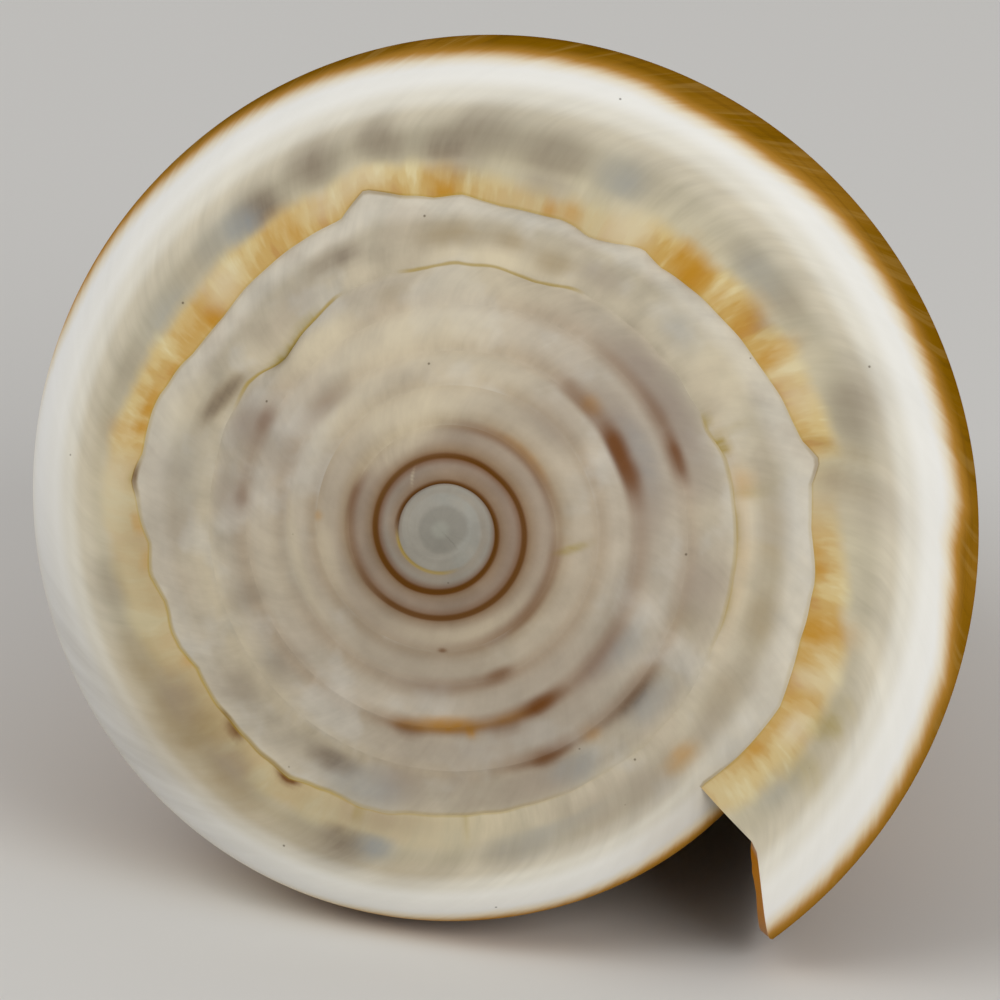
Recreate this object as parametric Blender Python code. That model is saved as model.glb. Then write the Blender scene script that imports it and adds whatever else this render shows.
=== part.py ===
"""A cone shell, one hollow piece, lying on its side with the opening down.

The shell is a sheet wound round an axis. One generating curve runs from the suture, where a
whorl joins the one before it, out over the ramp and shoulder and down the body to the front
end. It widens as it turns, and each whorl covers the body of the last one, so the earlier
whorls show only as the low spire. Behind the lip the last whorl stands clear of the one under
it, and that gap is the opening and the spiral room behind it.
"""

import math

import bmesh
import bpy
from mathutils import Matrix, Vector

MM = 0.001

# The spiral, in turns counted from its centre. It opens clockwise, seen from the apex.
TURNS = 11.3
FIRST_TURN = 2.2
ROOM_TURNS = 0.9
ROOM_CLOSES_FROM = 0.5
LIP_ANGLE = math.radians(-47.5)
STEPS = 50

# The spire, as radius and depth below the apex. The last turn spreads a little wider.
SUTURE_RADIUS = 8.92 * MM
SUTURE_POWER = 1.8
SUTURE_SPREAD = 0.075
SUTURE_DEPTH = 3.7 * MM
SUTURE_DEPTH_POWER = 1.9
NEXT_SUTURE_SHARE = 0.71

# The last whorl at its widest, a turn before the lip and at the lip. Halfway it bulges.
SHOULDER_START = 10.5 * MM
SHOULDER_END = 14.0 * MM
SHOULDER_BULGE = 0.38 * MM

# The front end: the column in the middle, and the lip beside it.
COLUMN_RADIUS = 1.45 * MM
FRONT_RADIUS = 3.3 * MM
FRONT_OPENING_POWER = 0.7
FRONT_DEPTH = 44.3 * MM
LENGTH = 45.0 * MM
BODY_CURVE = 1.15

WALL = 0.85 * MM
LIP_WALL = 0.34 * MM
LIP_TAPER_TURNS = 0.09
LIP_SWEEP = math.radians(7.5)
LIP_SWEEP_FROM = 0.5
LIP_SWEEP_FADE_POWER = 3

# At the front end the wall keeps this share of the room beside the column.
FRONT_WALL_SHARE = 0.4

# Across a whorl, as shares of its width from its suture to its widest point. A hollow ramp
# comes first, and then a rounded shoulder, a quarter of an ellipse.
RAMP = (0.0, 0.22, 0.44, 0.60, NEXT_SUTURE_SHARE)
SHOULDER = (0.81, 0.90, 0.97, 1.0)
RAMP_HOLLOW = 1.4
SHOULDER_FROM = 0.55
SHOULDER_DROP = 0.55
BODY_STEPS = 9
COLUMN_TIP = ((0.82, 0.55), (0.45, 0.92), (0.0, 1.0))

# How the shell lies: turned about its own axis, then tipped until its side meets the floor.
ROLL = math.radians(6.6)
PITCH = math.radians(13.1)

SHELL_COLOUR = (0.62, 0.42, 0.17, 1.0)
SHELL_ROUGHNESS = 0.35

# Edges that turn more than this are shaded sharp, and points this close become one.
SHARP_ANGLE = math.radians(40.0)
MERGE_DISTANCE = 0.0005 * MM


def smooth_step(value):
    """Eases a value from 0 to 1, and holds it there outside that span."""
    value = min(1.0, max(0.0, value))
    return value * value * (3.0 - 2.0 * value)


def suture_radius(turn):
    spread = 1.0 + SUTURE_SPREAD * smooth_step(turn - (TURNS - 1.0))
    return SUTURE_RADIUS * (turn / TURNS) ** SUTURE_POWER * spread


def suture_depth(turn):
    return SUTURE_DEPTH * (turn / TURNS) ** SUTURE_DEPTH_POWER


def shoulder_radius(turn):
    """The widest radius of the whorl at this turn."""
    into_last = turn - (TURNS - 1.0)
    if into_last >= 0.0:
        bulge = SHOULDER_BULGE * math.sin(math.pi * into_last)
        return SHOULDER_START + (SHOULDER_END - SHOULDER_START) * into_last + bulge
    ramp = suture_radius(turn + 1.0) - suture_radius(turn)
    return suture_radius(turn) + ramp / NEXT_SUTURE_SHARE


def front_radius(turn):
    """The radius of the front end: the column until the room starts, then opening to the lip."""
    opened = max(0.0, (turn - (TURNS - ROOM_TURNS)) / ROOM_TURNS)
    return COLUMN_RADIUS + (FRONT_RADIUS - COLUMN_RADIUS) * opened**FRONT_OPENING_POWER


def rounding(share):
    """How far the shoulder's ellipse has dropped at this share of the width, from 0 to 1."""
    across = max(0.0, (share - SHOULDER_FROM) / (1.0 - SHOULDER_FROM))
    return 1.0 - math.sqrt(1.0 - across * across)


def generating_curve(turn):
    """The outside of the shell at this turn, as (radius, depth) from the suture to the front."""
    inner, top = suture_radius(turn), suture_depth(turn)
    width = shoulder_radius(turn) - inner
    drop = SHOULDER_DROP * width
    ramp_fall = suture_depth(turn + 1.0) - top - drop * rounding(NEXT_SUTURE_SHARE)
    points = []
    for share in RAMP + SHOULDER:
        fall = ramp_fall * (share / NEXT_SUTURE_SHARE) ** RAMP_HOLLOW
        points.append((inner + share * width, top + fall + drop * rounding(share)))
    widest, start = points[-1]
    front = front_radius(turn)
    for step in range(1, BODY_STEPS + 1):
        share = step / BODY_STEPS
        radius = front + (widest - front) * (1.0 - share**BODY_CURVE)
        points.append((radius, start + (FRONT_DEPTH - start) * share))
    return points


RAMP_COLUMN = len(RAMP) - 1
CORNER_COLUMN = RAMP_COLUMN + 1
WIDEST_COLUMN = RAMP_COLUMN + len(SHOULDER)
FRONT_COLUMN = WIDEST_COLUMN + BODY_STEPS
ROOM_ROWS = round(ROOM_TURNS * STEPS)
LAST_ROW = round((TURNS - FIRST_TURN) * STEPS)


def turn_of(row):
    """Rows count back from the lip, so row 0 is the lip and row STEPS is a turn earlier."""
    return TURNS - row / STEPS


def lip_sweep(row, column):
    """How far ahead of the suture the growing edge stands here, as an angle."""
    share = (RAMP + SHOULDER)[min(column, WIDEST_COLUMN)]
    across = (share - LIP_SWEEP_FROM) / (1.0 - LIP_SWEEP_FROM)
    down_body = max(0.0, (column - WIDEST_COLUMN) / BODY_STEPS)
    fade = smooth_step((STEPS - row) / (STEPS - ROOM_ROWS))
    return LIP_SWEEP * max(0.0, across) * (1.0 - down_body**LIP_SWEEP_FADE_POWER) * fade


def placed(row, column, radius, depth):
    """A point of the shell, with its axis on Z and its apex at the origin."""
    angle = LIP_ANGLE + math.tau * row / STEPS - lip_sweep(row, column)
    return Vector((radius * math.cos(angle), radius * math.sin(angle), -depth))


def outside_point(row, column):
    """A point on the outside of the sheet. Past the front, the column closes to its tip."""
    if row > LAST_ROW - STEPS and column == 0:
        return Vector((0.0, 0.0, 0.0))
    if column > FRONT_COLUMN:
        share, drop = COLUMN_TIP[column - FRONT_COLUMN - 1]
        depth = FRONT_DEPTH + drop * (LENGTH - FRONT_DEPTH)
        return placed(row, FRONT_COLUMN, share * COLUMN_RADIUS, depth)
    return placed(row, column, *generating_curve(turn_of(row))[column])


def wall_thickness(row):
    back = row / STEPS / LIP_TAPER_TURNS
    return LIP_WALL + (WALL - LIP_WALL) * smooth_step(back)


def inside_curve(row):
    """The inside of the last whorl's wall, as (radius, depth) beside each point outside it.

    It starts at the corner where the wall meets the whorl below, and deep inside it comes
    down onto that whorl, which closes the room.
    """
    outer = generating_curve(turn_of(row))
    floor = generating_curve(turn_of(row + STEPS))
    corner = floor[CORNER_COLUMN]
    closing = max(0.0, (row / ROOM_ROWS - ROOM_CLOSES_FROM) / (1.0 - ROOM_CLOSES_FROM))
    wall = wall_thickness(row)
    points = []
    for column, (radius, depth) in enumerate(outer):
        before = outer[max(column - 1, 0)]
        after = outer[min(column + 1, FRONT_COLUMN)]
        along = Vector((after[0] - before[0], after[1] - before[1])).normalized()
        thick = wall
        if column >= WIDEST_COLUMN:
            share = (column - WIDEST_COLUMN) / BODY_STEPS
            at_front = min(wall, FRONT_WALL_SHARE * (outer[FRONT_COLUMN][0] - COLUMN_RADIUS))
            thick = wall + (at_front - wall) * share
        inner = (radius - along.y * thick, depth + along.x * thick)
        end = floor[max(column, CORNER_COLUMN)]
        points.append(tuple(a + (b - a) * closing for a, b in zip(inner, end)))
    under_shoulder = points[CORNER_COLUMN]
    for column in range(CORNER_COLUMN):
        share = column / CORNER_COLUMN
        points[column] = tuple(a + (b - a) * share for a, b in zip(corner, under_shoulder))
    return points


def inside_point(row, column):
    """A point on the inside of the sheet. Row -1 and the last column lie on its edges."""
    if row < 0 or column > FRONT_COLUMN:
        return outside_point(max(row, 0), min(column, FRONT_COLUMN))
    if column == 0 or row == ROOM_ROWS:
        return outside_point(row + STEPS, max(column, CORNER_COLUMN))
    return placed(row, column, *inside_curve(row)[column])


def wound_sheet(shell, rows, columns, first_row, point):
    """Adds a flat grid and winds it into a whorl, and returns its faces by (row, column)."""
    before = set(shell.faces)
    made = bmesh.ops.create_grid(shell, x_segments=rows, y_segments=columns, size=1.0)
    cells = {}
    places = {}
    for vertex in made["verts"]:
        row = round((vertex.co.x + 1.0) / 2.0 * rows)
        column = round((vertex.co.y + 1.0) / 2.0 * columns)
        places[vertex] = (row + first_row, column)
    for face in set(shell.faces) - before:
        corners = [places[vertex] for vertex in face.verts]
        cells[min(row for row, _ in corners), min(column for _, column in corners)] = face
    for vertex, (row, column) in places.items():
        vertex.co = point(row, column)
    return cells


def is_surface(row, column):
    """Whether this cell of the outer sheet is on the shell's surface."""
    if column < RAMP_COLUMN:
        return True
    if column >= FRONT_COLUMN:
        return ROOM_ROWS <= row < ROOM_ROWS + STEPS
    if column == RAMP_COLUMN:
        return row < STEPS
    return row < STEPS + ROOM_ROWS


def build_shell():
    """Makes the shell's mesh, with its axis on Z."""
    shell = bmesh.new()
    columns = FRONT_COLUMN + len(COLUMN_TIP)
    cells = wound_sheet(shell, LAST_ROW, columns, 0, outside_point)
    hidden = [face for cell, face in cells.items() if not is_surface(*cell)]
    bmesh.ops.delete(shell, geom=hidden, context="FACES")
    wound_sheet(shell, ROOM_ROWS + 1, FRONT_COLUMN + 1, -1, inside_point)
    bmesh.ops.remove_doubles(shell, verts=shell.verts, dist=MERGE_DISTANCE)
    bmesh.ops.holes_fill(shell, edges=[edge for edge in shell.edges if edge.is_boundary])
    bmesh.ops.triangulate(shell, faces=shell.faces)
    bmesh.ops.recalc_face_normals(shell, faces=shell.faces)
    return shell


def lay_down(shell):
    """Turns the shell onto its side, apex towards -Y, and centres it on the floor."""
    lying = Matrix.Rotation(math.radians(90.0) - PITCH, 4, "X") @ Matrix.Rotation(ROLL, 4, "Z")
    bmesh.ops.transform(shell, matrix=lying, verts=shell.verts)
    low = Vector(min(vertex.co[axis] for vertex in shell.verts) for axis in range(3))
    high = Vector(max(vertex.co[axis] for vertex in shell.verts) for axis in range(3))
    centre = (low + high) / 2.0
    bmesh.ops.translate(shell, vec=Vector((-centre.x, -centre.y, -low.z)), verts=shell.verts)


def shell_material():
    material = bpy.data.materials.new("shell")
    material.use_nodes = True
    shader = material.node_tree.nodes["Principled BSDF"]
    shader.inputs["Base Color"].default_value = SHELL_COLOUR
    shader.inputs["Roughness"].default_value = SHELL_ROUGHNESS
    shader.inputs["Metallic"].default_value = 0.0
    return material


def main():
    for thing in list(bpy.data.objects):
        bpy.data.objects.remove(thing)
    shell = build_shell()
    lay_down(shell)
    mesh = bpy.data.meshes.new("shell")
    shell.to_mesh(mesh)
    shell.free()
    mesh.materials.append(shell_material())
    mesh.shade_smooth()
    mesh.set_sharp_from_angle(angle=SHARP_ANGLE)
    node = bpy.data.objects.new("shell", mesh)
    bpy.context.scene.collection.objects.link(node)


main()
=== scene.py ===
"""The looks of a cone shell that lies on its side, with its spire towards the camera.

The shell is one grown sheet, so it is one piece here. Every point of it has two numbers that
say where it grew: how many turns back from the lip it is, and how far across its whorl, from 0
at the suture to 1 at the shoulder's widest line, 2 at the front end and 3 at the column's tip.
The shape, the relief and all the colours are worked out from those two.
"""

import logging
import math
from dataclasses import dataclass, field
from enum import Enum

import bmesh
import bpy
import numpy as np
from mathutils import Color, Matrix, Vector, noise

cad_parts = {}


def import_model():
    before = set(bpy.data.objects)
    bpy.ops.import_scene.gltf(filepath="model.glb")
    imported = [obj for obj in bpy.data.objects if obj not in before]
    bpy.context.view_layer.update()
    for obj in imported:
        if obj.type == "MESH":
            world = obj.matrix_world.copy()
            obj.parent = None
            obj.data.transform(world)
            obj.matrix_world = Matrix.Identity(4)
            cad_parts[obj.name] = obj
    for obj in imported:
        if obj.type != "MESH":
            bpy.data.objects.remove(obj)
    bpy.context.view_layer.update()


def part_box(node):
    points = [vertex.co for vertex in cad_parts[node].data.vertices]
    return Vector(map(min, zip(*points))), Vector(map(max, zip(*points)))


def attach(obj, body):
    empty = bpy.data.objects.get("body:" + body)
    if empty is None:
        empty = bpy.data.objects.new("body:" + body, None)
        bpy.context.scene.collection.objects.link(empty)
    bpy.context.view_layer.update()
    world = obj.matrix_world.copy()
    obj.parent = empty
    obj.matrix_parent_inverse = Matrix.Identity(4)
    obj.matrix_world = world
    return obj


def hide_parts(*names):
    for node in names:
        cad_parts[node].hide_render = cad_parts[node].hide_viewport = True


LOG = logging.getLogger("cone_shell")
MM = 0.001
GROWTH_MAP = "growth"
NUMBER = "NodeSocketFloat"
PLACE = "NodeSocketVector"

Paint = tuple[float, float, float, float]
Stop = tuple[float, Paint]
Socket = bpy.types.NodeSocket
# Where a smooth step starts and ends, and its value before and after.
Span = tuple[float, float, float, float]


def eased(value: float, start: float = 0.0, end: float = 1.0) -> float:
    """Eases from 0 to 1 between two places, and stays there outside them.

    Args:
        value: Where it is.
        start: Where it gives 0.
        end: Where it gives 1.

    Returns:
        The eased value, from 0 to 1.
    """
    way = min(1.0, max(0.0, (value - start) / (end - start)))
    return way * way * (3.0 - 2.0 * way)


def paint(red: int, green: int, blue: int) -> Paint:
    """Turns a paint-box colour, 0 to 255 a channel, into the linear colour of shaders."""
    linear = Color((red / 255.0, green / 255.0, blue / 255.0)).from_srgb_to_scene_linear()
    return linear.r, linear.g, linear.b, 1.0


class Pigment(Enum):
    """The colours that lie in patches on the shell, each with a mask of its own. A few tan and
    slate patches are painted shade.
    """

    ORANGE = "orange"
    SLATE_AND_SHADE = "slate"
    HAZE = "haze"
    RUST = "rust"
    VIOLET = "violet"
    OLIVE = "olive"
    CREAM = "cream"
    TAN_AND_SHADE = "tan"


@dataclass(frozen=True)
class Mark:
    """One soft patch of pigment.

    Attributes:
        back: Turns back from the lip to its middle.
        share: The place across the whorl of its middle.
        length: Half its length along the whorl, in turns.
        width: Half its width across the whorl, in shares.
        strength: How strong it is, from 0 to 1.
        lean: How far back it leans for each whorl's width outwards, in turns.
    """

    back: float
    share: float
    length: float
    width: float
    strength: float
    lean: float = 0.0

    def mask(self, back: np.ndarray, share: np.ndarray) -> np.ndarray:
        """Gives the patch's strength at many places.

        Args:
            back: Turns back from the lip, for each place.
            share: The place across the whorl, for each place.

        Returns:
            The strength at each place.
        """
        along = (back - self.back - self.lean * (share - self.share)) / self.length
        across = (share - self.share) / self.width
        return self.strength * np.exp(-((along**2 + across**2) ** 1.4))


def marks(*rows: tuple[float, ...]) -> tuple[Mark, ...]:
    """Makes patches from rows of numbers, which are in the order of a Mark's own."""
    return tuple(Mark(*row) for row in rows)


@dataclass(frozen=True)
class Course:
    """A value that changes along the whorls, given at a few places and even in between.

    Attributes:
        knots: Pairs of turns back from the lip and the value there.
    """

    knots: tuple[tuple[float, float], ...]

    def at(self, back: float | np.ndarray) -> float | np.ndarray:
        """Returns the value at a place, or at many."""
        return np.interp(back, [knot[0] for knot in self.knots], [knot[1] for knot in self.knots])


# How far the suture strays outwards from its spiral, in millimetres.
SUTURE_WANDER = Course((
    (0.0, 0.0), (0.02, 0.22), (0.05, 0.43), (0.08, 0.28), (0.105, 0.32), (0.13, 0.16),
    (0.15, 0.26), (0.16, 0.58), (0.17, 0.24), (0.2, 0.02), (0.25, -0.2), (0.275, -0.3),
    (0.287, -0.16), (0.3, -0.4), (0.315, -0.52), (0.33, -0.36), (0.36, -0.3), (0.38, -0.02),
    (0.395, -0.06), (0.41, 0.12), (0.427, 0.56), (0.442, 0.05), (0.48, 0.03), (0.52, -0.07),
    (0.545, 0.06), (0.57, 0.44), (0.6, 0.47), (0.615, 0.68), (0.63, 0.42), (0.645, 0.22),
    (0.66, 0.4), (0.675, 0.2), (0.7, 0.27), (0.714, 0.1), (0.735, 0.28), (0.79, 0.4), (0.81, 0.2),
    (0.83, 0.32), (0.88, 0.18), (1.0, 0.22), (1.05, 0.2), (1.17, 0.16), (1.19, -0.06),
    (1.3, -0.08), (1.332, -0.3), (1.36, -0.1), (1.38, -0.05), (1.4, -0.18), (1.46, -0.05),
    (1.51, -0.6), (1.54, -0.1), (1.7, 0.03), (1.95, 0.32), (2.2, 0.16), (2.5, 0.0), (2.85, 0.22),
    (3.2, -0.03), (3.6, 0.0), (3.93, 0.09), (4.93, 0.1), (5.2, -0.09), (5.56, 0.0), (5.73, 0.1),
    (6.0, 0.05), (6.26, -0.12), (6.4, -0.05), (6.56, 0.02), (6.79, 0.11), (7.04, -0.05),
    (7.3, -0.22), (7.45, -0.21), (7.6, -0.1), (7.72, -0.02), (8.0, 0.0),
))
# How deep the groove along it is, in millimetres.
GROOVE_DEPTH = Course((
    (0.0, 0.02), (0.14, 0.01), (0.16, 0.03), (0.18, 0.01), (0.4, 0.01), (0.43, 0.03),
    (0.46, 0.008), (0.9, 0.008), (1.3, 0.015), (1.5, 0.01), (1.55, 0.0), (5.4, 0.0), (5.8, 0.012),
    (7.6, 0.012), (8.0, 0.0),
))
# How far it ripples in and out, in millimetres.
SUTURE_RIPPLE = Course((
    (0.0, 0.03), (0.1, 0.05), (0.3, 0.05), (0.5, 0.04), (0.6, 0.09), (0.85, 0.11), (0.95, 0.05),
    (1.15, 0.04), (1.3, 0.08), (1.55, 0.08), (1.65, 0.0),
))


@dataclass(frozen=True)
class Growth:
    """The law by which the shell grows, in turns counted from its centre."""

    turns: float = 11.3
    first_turn: float = 1.3
    room_turns: float = 0.9
    lip_angle: float = math.radians(-47.5)

    suture_at_lip: float = 8.92 * MM
    suture_power: float = 1.8
    suture_spread: float = 0.075
    depth_at_lip: float = 3.7 * MM
    depth_power: float = 1.9
    next_suture: float = 0.71
    first_whorl_swell: float = 0.27 * MM
    swell_full: float = 2.0
    swell_gone: float = 5.0

    shoulder_start: float = 10.5 * MM
    shoulder_end: float = 14.0 * MM
    shoulder_bulge: float = 0.38 * MM
    shoulder_from: float = 0.55
    shoulder_drop: float = 0.55
    ramp_hollow: float = 1.4
    old_hollow: float = 1.0
    worn_from: float = 1.4
    worn_to: float = 1.75
    groove_width: float = 0.035

    column_radius: float = 1.45 * MM
    front_radius: float = 3.3 * MM
    front_power: float = 0.7
    front_depth: float = 44.3 * MM
    length: float = 45.0 * MM
    body_curve: float = 1.15

    lip_sweep: float = math.radians(7.5)
    lip_sweep_from: float = 0.5

    wander: Course = SUTURE_WANDER
    grooves: Course = GROOVE_DEPTH
    ripples: Course = SUTURE_RIPPLE
    ripples_per_turn: float = 62.0
    ripple_row: float = 5.5

    def suture_radius(self, turn: float) -> float:
        """Gives the radius of the smooth suture spiral.

        Args:
            turn: Turns from the centre.

        Returns:
            The radius.
        """
        spread = 1.0 + self.suture_spread * eased(turn, self.turns - 1.0, self.turns)
        swell = (1.0 - eased(turn, self.swell_full, self.swell_gone))
        swell *= self.first_whorl_swell * eased(turn, 0.0, self.swell_full)
        return self.suture_at_lip * (turn / self.turns) ** self.suture_power * spread + swell

    def suture_depth(self, turn: float) -> float:
        """Returns how far below the apex the suture is at a turn."""
        return self.depth_at_lip * (turn / self.turns) ** self.depth_power

    def stray(self, turn: float) -> float:
        """Gives how far the suture strays outwards from its spiral.

        Args:
            turn: Turns from the centre.

        Returns:
            The distance, below zero inwards.
        """
        back = self.turns - turn
        ripple = noise.noise(Vector((back * self.ripples_per_turn, self.ripple_row, 0.0)))
        return (float(self.wander.at(back)) + float(self.ripples.at(back)) * ripple) * MM

    def widest_radius(self, turn: float) -> float:
        """Gives the widest radius of a whorl.

        Args:
            turn: Turns from the centre.

        Returns:
            The radius.
        """
        into_last = turn - (self.turns - 1.0)
        if into_last >= 0.0:
            bulge = self.shoulder_bulge * math.sin(math.pi * into_last)
            widening = self.shoulder_end - self.shoulder_start
            return self.shoulder_start + widening * into_last + bulge
        ramp = self.suture_radius(turn + 1.0) - self.suture_radius(turn)
        return self.suture_radius(turn) + ramp / self.next_suture

    def front_end(self, turn: float) -> float:
        """Returns the radius of the front end: the column, then opening out to the lip."""
        opened = max(0.0, (turn - (self.turns - self.room_turns)) / self.room_turns)
        return (self.column_radius
                + (self.front_radius - self.column_radius) * opened**self.front_power)

    def wear(self, turn: float) -> float:
        """Returns how far the whorl at a turn is worn to a smooth cone, from 0 to 1."""
        return eased(self.turns - turn, self.worn_from, self.worn_to)

    def rounding(self, share: float) -> float:
        """Returns how far the shoulder's ellipse has dropped, from 0 to 1."""
        across = min(1.0, max(0.0, (share - self.shoulder_from) / (1.0 - self.shoulder_from)))
        return 1.0 - math.sqrt(1.0 - across * across)

    def profile(self, turn: float, share: float) -> tuple[float, float]:
        """Gives the outside of the shell, on the smooth law.

        Args:
            turn: Turns from the centre.
            share: The place across the whorl.

        Returns:
            The radius from the axis, and the depth below the apex.
        """
        if share > 1.0:
            return self.below_shoulder(turn, share)
        inner, top = self.suture_radius(turn), self.suture_depth(turn)
        width = self.widest_radius(turn) - inner
        wear = self.wear(turn)
        drop = self.shoulder_drop * width * (1.0 - wear)
        hollow = self.ramp_hollow + (self.old_hollow - self.ramp_hollow) * wear
        ramp_fall = self.suture_depth(turn + 1.0) - top - drop * self.rounding(self.next_suture)
        fall = ramp_fall * (share / self.next_suture) ** hollow
        return inner + share * width, top + fall + drop * self.rounding(share)

    def below_shoulder(self, turn: float, share: float) -> tuple[float, float]:
        """Gives the body down to the front end, and then the column's closed tip.

        Args:
            turn: Turns from the centre.
            share: From 1 at the shoulder to 2 at the front end and 3 at the tip.

        Returns:
            The radius from the axis, and the depth below the apex.
        """
        if share > 2.0:
            around = (share - 2.0) * math.pi / 2.0
            reach = (self.length - self.front_depth) * math.sin(around)
            return self.column_radius * math.cos(around), self.front_depth + reach
        widest, start = self.profile(turn, 1.0)
        front, down = self.front_end(turn), share - 1.0
        radius = front + (widest - front) * (1.0 - down**self.body_curve)
        return radius, start + (self.front_depth - start) * down

    def sweep(self, back: float, share: float) -> float:
        """Gives how far ahead of the suture the growing edge stands.

        Args:
            back: Turns back from the lip.
            share: The place across the whorl.

        Returns:
            The angle, which is nothing on the older whorls.
        """
        across = (min(share, 1.0) - self.lip_sweep_from) / (1.0 - self.lip_sweep_from)
        down_body = min(1.0, max(0.0, share - 1.0))
        fade = eased(back, 1.0, self.room_turns)
        return self.lip_sweep * max(0.0, across) * (1.0 - down_body**3) * fade

    def place(self, back: float, share: float, radius: float, depth: float) -> Vector:
        """Gives the point at a radius and depth, with the axis on Z and the apex at the origin."""
        angle = self.lip_angle + math.tau * back - self.sweep(back, share)
        return Vector((radius * math.cos(angle), radius * math.sin(angle), -depth))


@dataclass(frozen=True)
class Scar:
    """An old growing edge, where the shell broke and grew on from a little lower.

    Attributes:
        back: Turns back from the lip to its start.
        start: The share across the whorl where it starts.
        end: The share where it ends.
        height: How high the step is, in metres.
        lean: How far back it leans for each whorl's width outwards, in turns.
        fade: How soon the older side sinks back behind it, in turns.
    """

    back: float
    start: float
    end: float
    height: float
    lean: float = 0.0
    fade: float = 0.012

    def rise(self, back: float, share: float) -> float:
        """Gives how far this scar lifts the older side.

        Args:
            back: Turns back from the lip.
            share: The place across the whorl.

        Returns:
            The rise, in metres.
        """
        behind = back - self.back - self.lean * (share - self.start)
        if behind < 0.0 or not self.start < share < self.end:
            return 0.0
        across = (share - self.start) / (self.end - self.start)
        return self.height * math.exp(-behind / self.fade) * math.sin(math.pi * across)


@dataclass(frozen=True)
class Relief:
    """The small unevenness of a grown surface, added to the smooth law.

    Attributes:
        swell: How high the slow swells are.
        swells: How many there are in a turn, and across a whorl.
        rib: How high the ribs along the growth lines are.
        ribs: How many there are in a turn, and across a whorl.
        slices: Which slices of the noise the swells and the ribs are cut from.
        edge: How proud the covered side stands beside a suture.
        edge_width: How wide that is, in shares.
        edge_from: The turns back where it starts.
        seam_width: How far from a suture the unevenness is full, on its younger side.
        covered_seam_width: The same on its covered side.
        worn: How much of the unevenness is worn off the old whorls.
        scars: The old growing edges.
    """

    swell: float = 0.10 * MM
    swells: tuple[float, float] = (7.0, 2.2)
    rib: float = 0.045 * MM
    ribs: tuple[float, float] = (26.0, 0.8)
    slices: tuple[float, float] = (3.1, 7.7)
    edge: float = 0.035 * MM
    edge_width: float = 0.07
    edge_from: float = 0.93
    seam_width: float = 0.12
    covered_seam_width: float = 0.05
    worn: float = 0.9
    scars: tuple[Scar, ...] = (
        Scar(0.161, 0.04, 0.60, 0.07 * MM, -0.03),
        Scar(0.205, 0.10, 0.75, 0.04 * MM, -0.02),
        Scar(0.302, 0.10, 0.65, 0.05 * MM, -0.02),
        Scar(0.425, 0.06, 0.40, 0.05 * MM),
        Scar(0.617, 0.10, 0.45, 0.05 * MM),
        Scar(0.850, 0.20, 0.75, 0.04 * MM),
    )

    def rise(self, growth: Growth, back: float, share: float) -> float:
        """Gives how far the surface stands above the smooth law.

        Args:
            growth: The law of the shell.
            back: Turns back from the lip.
            share: The place across the whorl.

        Returns:
            The rise in metres, which is nothing at the sutures.
        """
        size = growth.widest_radius(growth.turns - back) / growth.shoulder_end
        wear = growth.wear(growth.turns - back)
        covered = eased(back, self.edge_from, 1.0)
        to_next = growth.next_suture - share
        seam = min(1.0, share / self.seam_width)
        seam *= 1.0 + (min(1.0, max(0.0, to_next / self.covered_seam_width)) - 1.0) * covered
        slow = noise.noise(Vector((back * self.swells[0], share * self.swells[1], self.slices[0])))
        rib = noise.noise(Vector((back * self.ribs[0], share * self.ribs[1], self.slices[1])))
        uneven = (self.swell * slow + self.rib * rib) * (1.0 - self.worn * wear)
        across = (to_next - self.edge_width) / self.edge_width
        proud = covered * self.edge * math.exp(-(across**2)) * (1.0 - wear)
        scars = sum(scar.rise(back, share) for scar in self.scars)
        return eased(seam) * (size * (uneven + proud) + scars)


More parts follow.
